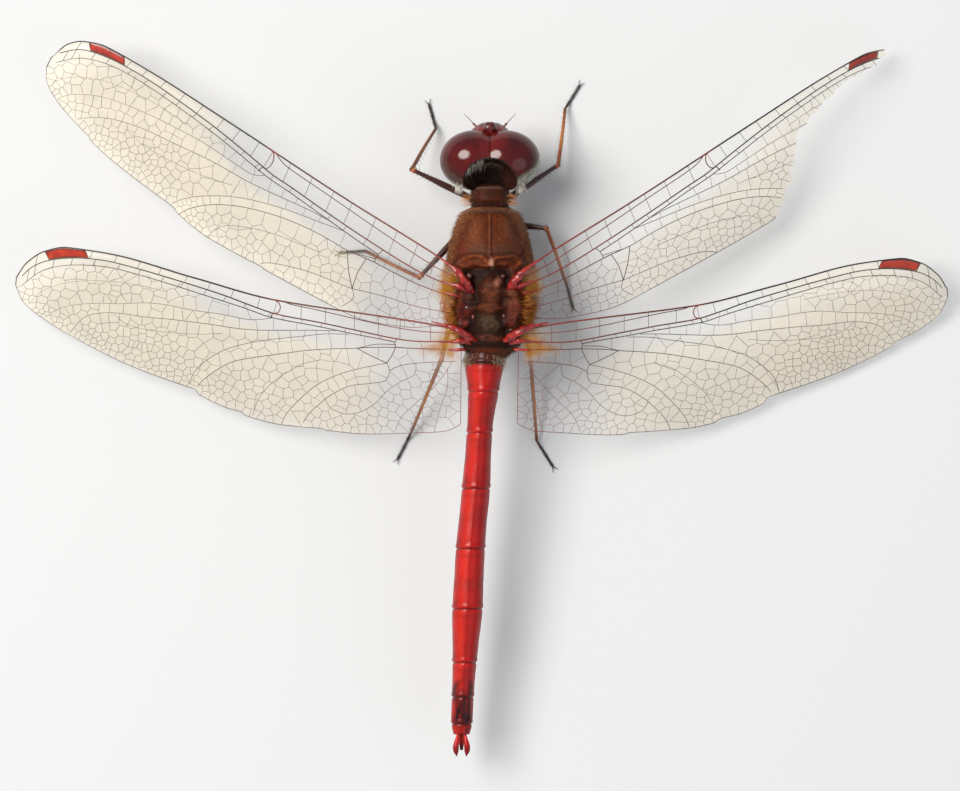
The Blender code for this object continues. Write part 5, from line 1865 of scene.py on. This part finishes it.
def build_floor():
    """A plain pale floor."""
    mesh = bpy.data.meshes.new("floor")
    corners = [(x * FLOOR_REACH, y * FLOOR_REACH, 0)
               for x, y in ((-1, -1), (1, -1), (1, 1), (-1, 1))]
    mesh.from_pydata(corners, [], [(0, 1, 2, 3)])
    material = bpy.data.materials.new("floor")
    material.use_nodes = True
    shader = material.node_tree.nodes["Principled BSDF"]
    shader.inputs["Base Color"].default_value = (0.63, 0.635, 0.64, 1)
    shader.inputs["Roughness"].default_value = 0.9
    mesh.materials.append(material)
    floor = add_object("floor", mesh)
    floor.location.z = -FLOOR_DROP


def build_lights():
    """Soft light from the upper left of the picture, and a pale sky."""
    world = bpy.data.worlds.new("studio")
    world.use_nodes = True
    sky = world.node_tree.nodes["Background"]
    sky.inputs["Color"].default_value = (0.9, 0.94, 1.0, 1)
    sky.inputs["Strength"].default_value = 0.42
    bpy.context.scene.world = world
    middle = Vector(to_row((*VIEW_CENTRE, 4.0)))
    for name, (way, distance, width, power, colour) in LAMPS.items():
        light = bpy.data.lights.new(name, "AREA")
        light.shape = "DISK"
        light.size = width
        light.energy = power
        light.color = colour
        lamp = add_object(name, light)
        lamp.location = middle + Vector(way).normalized() * distance
        lamp.rotation_euler = Vector(way).to_track_quat("Z", "Y").to_euler()


def build_camera():
    """The camera looks straight down, with the head towards the picture's top."""
    lens = bpy.data.cameras.new("camera")
    lens.sensor_width = SENSOR_WIDTH
    lens.lens = SENSOR_WIDTH * CAMERA_DISTANCE / VIEW_WIDTH
    lens.clip_start = 0.01
    lens.clip_end = 10.0
    camera = add_object("camera", lens)
    camera.location = to_row((*VIEW_CENTRE, VIEW_HEIGHT + CAMERA_DISTANCE))
    camera.rotation_euler = (0.0, 0.0, math.pi)
    bpy.context.scene.camera = camera
    bpy.context.scene.view_settings.view_transform = "Standard"


def make_materials():
    """Every material of the dragonfly, by name."""
    return {
        "thorax": painted("thorax", 0.5, 0.3, 0.18, 0.02, 0.06, Specular_IOR_Level=0.08),
        "abdomen": painted("abdomen", 0.3, 0.16, 0.12, 0.008, 0.07, Specular_IOR_Level=0.2,
                           Coat_Weight=0.05),
        "eye": painted("eye", 0.07, 0.2, 0.3, 0.002, 0.05, True, Specular_IOR_Level=0.34,
                       Coat_Weight=0.1, Coat_Roughness=0.03),
        "nape": painted("nape", 0.5, 0.4, 0.2, 0.02, 0.08),
        "face": painted("face", 0.3, 0.25, 0.2, 0.01, 0.06, Coat_Weight=0.3),
        "mouth": painted("mouth", 0.38, 0.25, 0.2, 0.01, 0.06),
        "gloss": painted("gloss", 0.28, 0.25, 0.15, 0.012, 0.08, Coat_Weight=0.25),
        "leg": painted("leg", 0.32, 0.3, 0.12, 0.012, 0.05, Coat_Weight=0.2),
        "membrane": membrane_material(),
        "vein": painted("vein", 0.35, 0.2, 0.2, 0.006, 0.05),
        "stigma": painted("stigma", 0.3, 0.2, 0.2, 0.012, 0.08, Coat_Weight=0.3),
        "hair": painted("hair", 0.5, 0.15, 0.3, 0.0, 0.1, Specular_IOR_Level=0.25),
    }


def build():
    """The whole dragonfly and its stage."""
    materials = make_materials()
    skins = {"trunk": build_trunk(materials["thorax"]),
             "abdomen": build_abdomen(materials["abdomen"])}
    build_tail(materials["abdomen"])
    for name, dome in build_eyes(materials["eye"]).items():
        skins["head_" + name] = dome
    skins["head"] = build_skull(materials["nape"])
    build_face(materials["face"])
    build_vertex(materials["gloss"])
    build_mouth(materials["mouth"])
    build_antennae(materials["leg"])
    rng = np.random.default_rng(3)
    for name in LEGS:
        build_leg(name, materials["leg"], rng)
    for seed, wing in enumerate(WINGS, 20):
        build_wing(wing, seed, materials)
    build_wing_roots(materials["gloss"])
    build_coats(skins, materials["hair"])
    build_floor()
    build_lights()
    build_camera()


build()
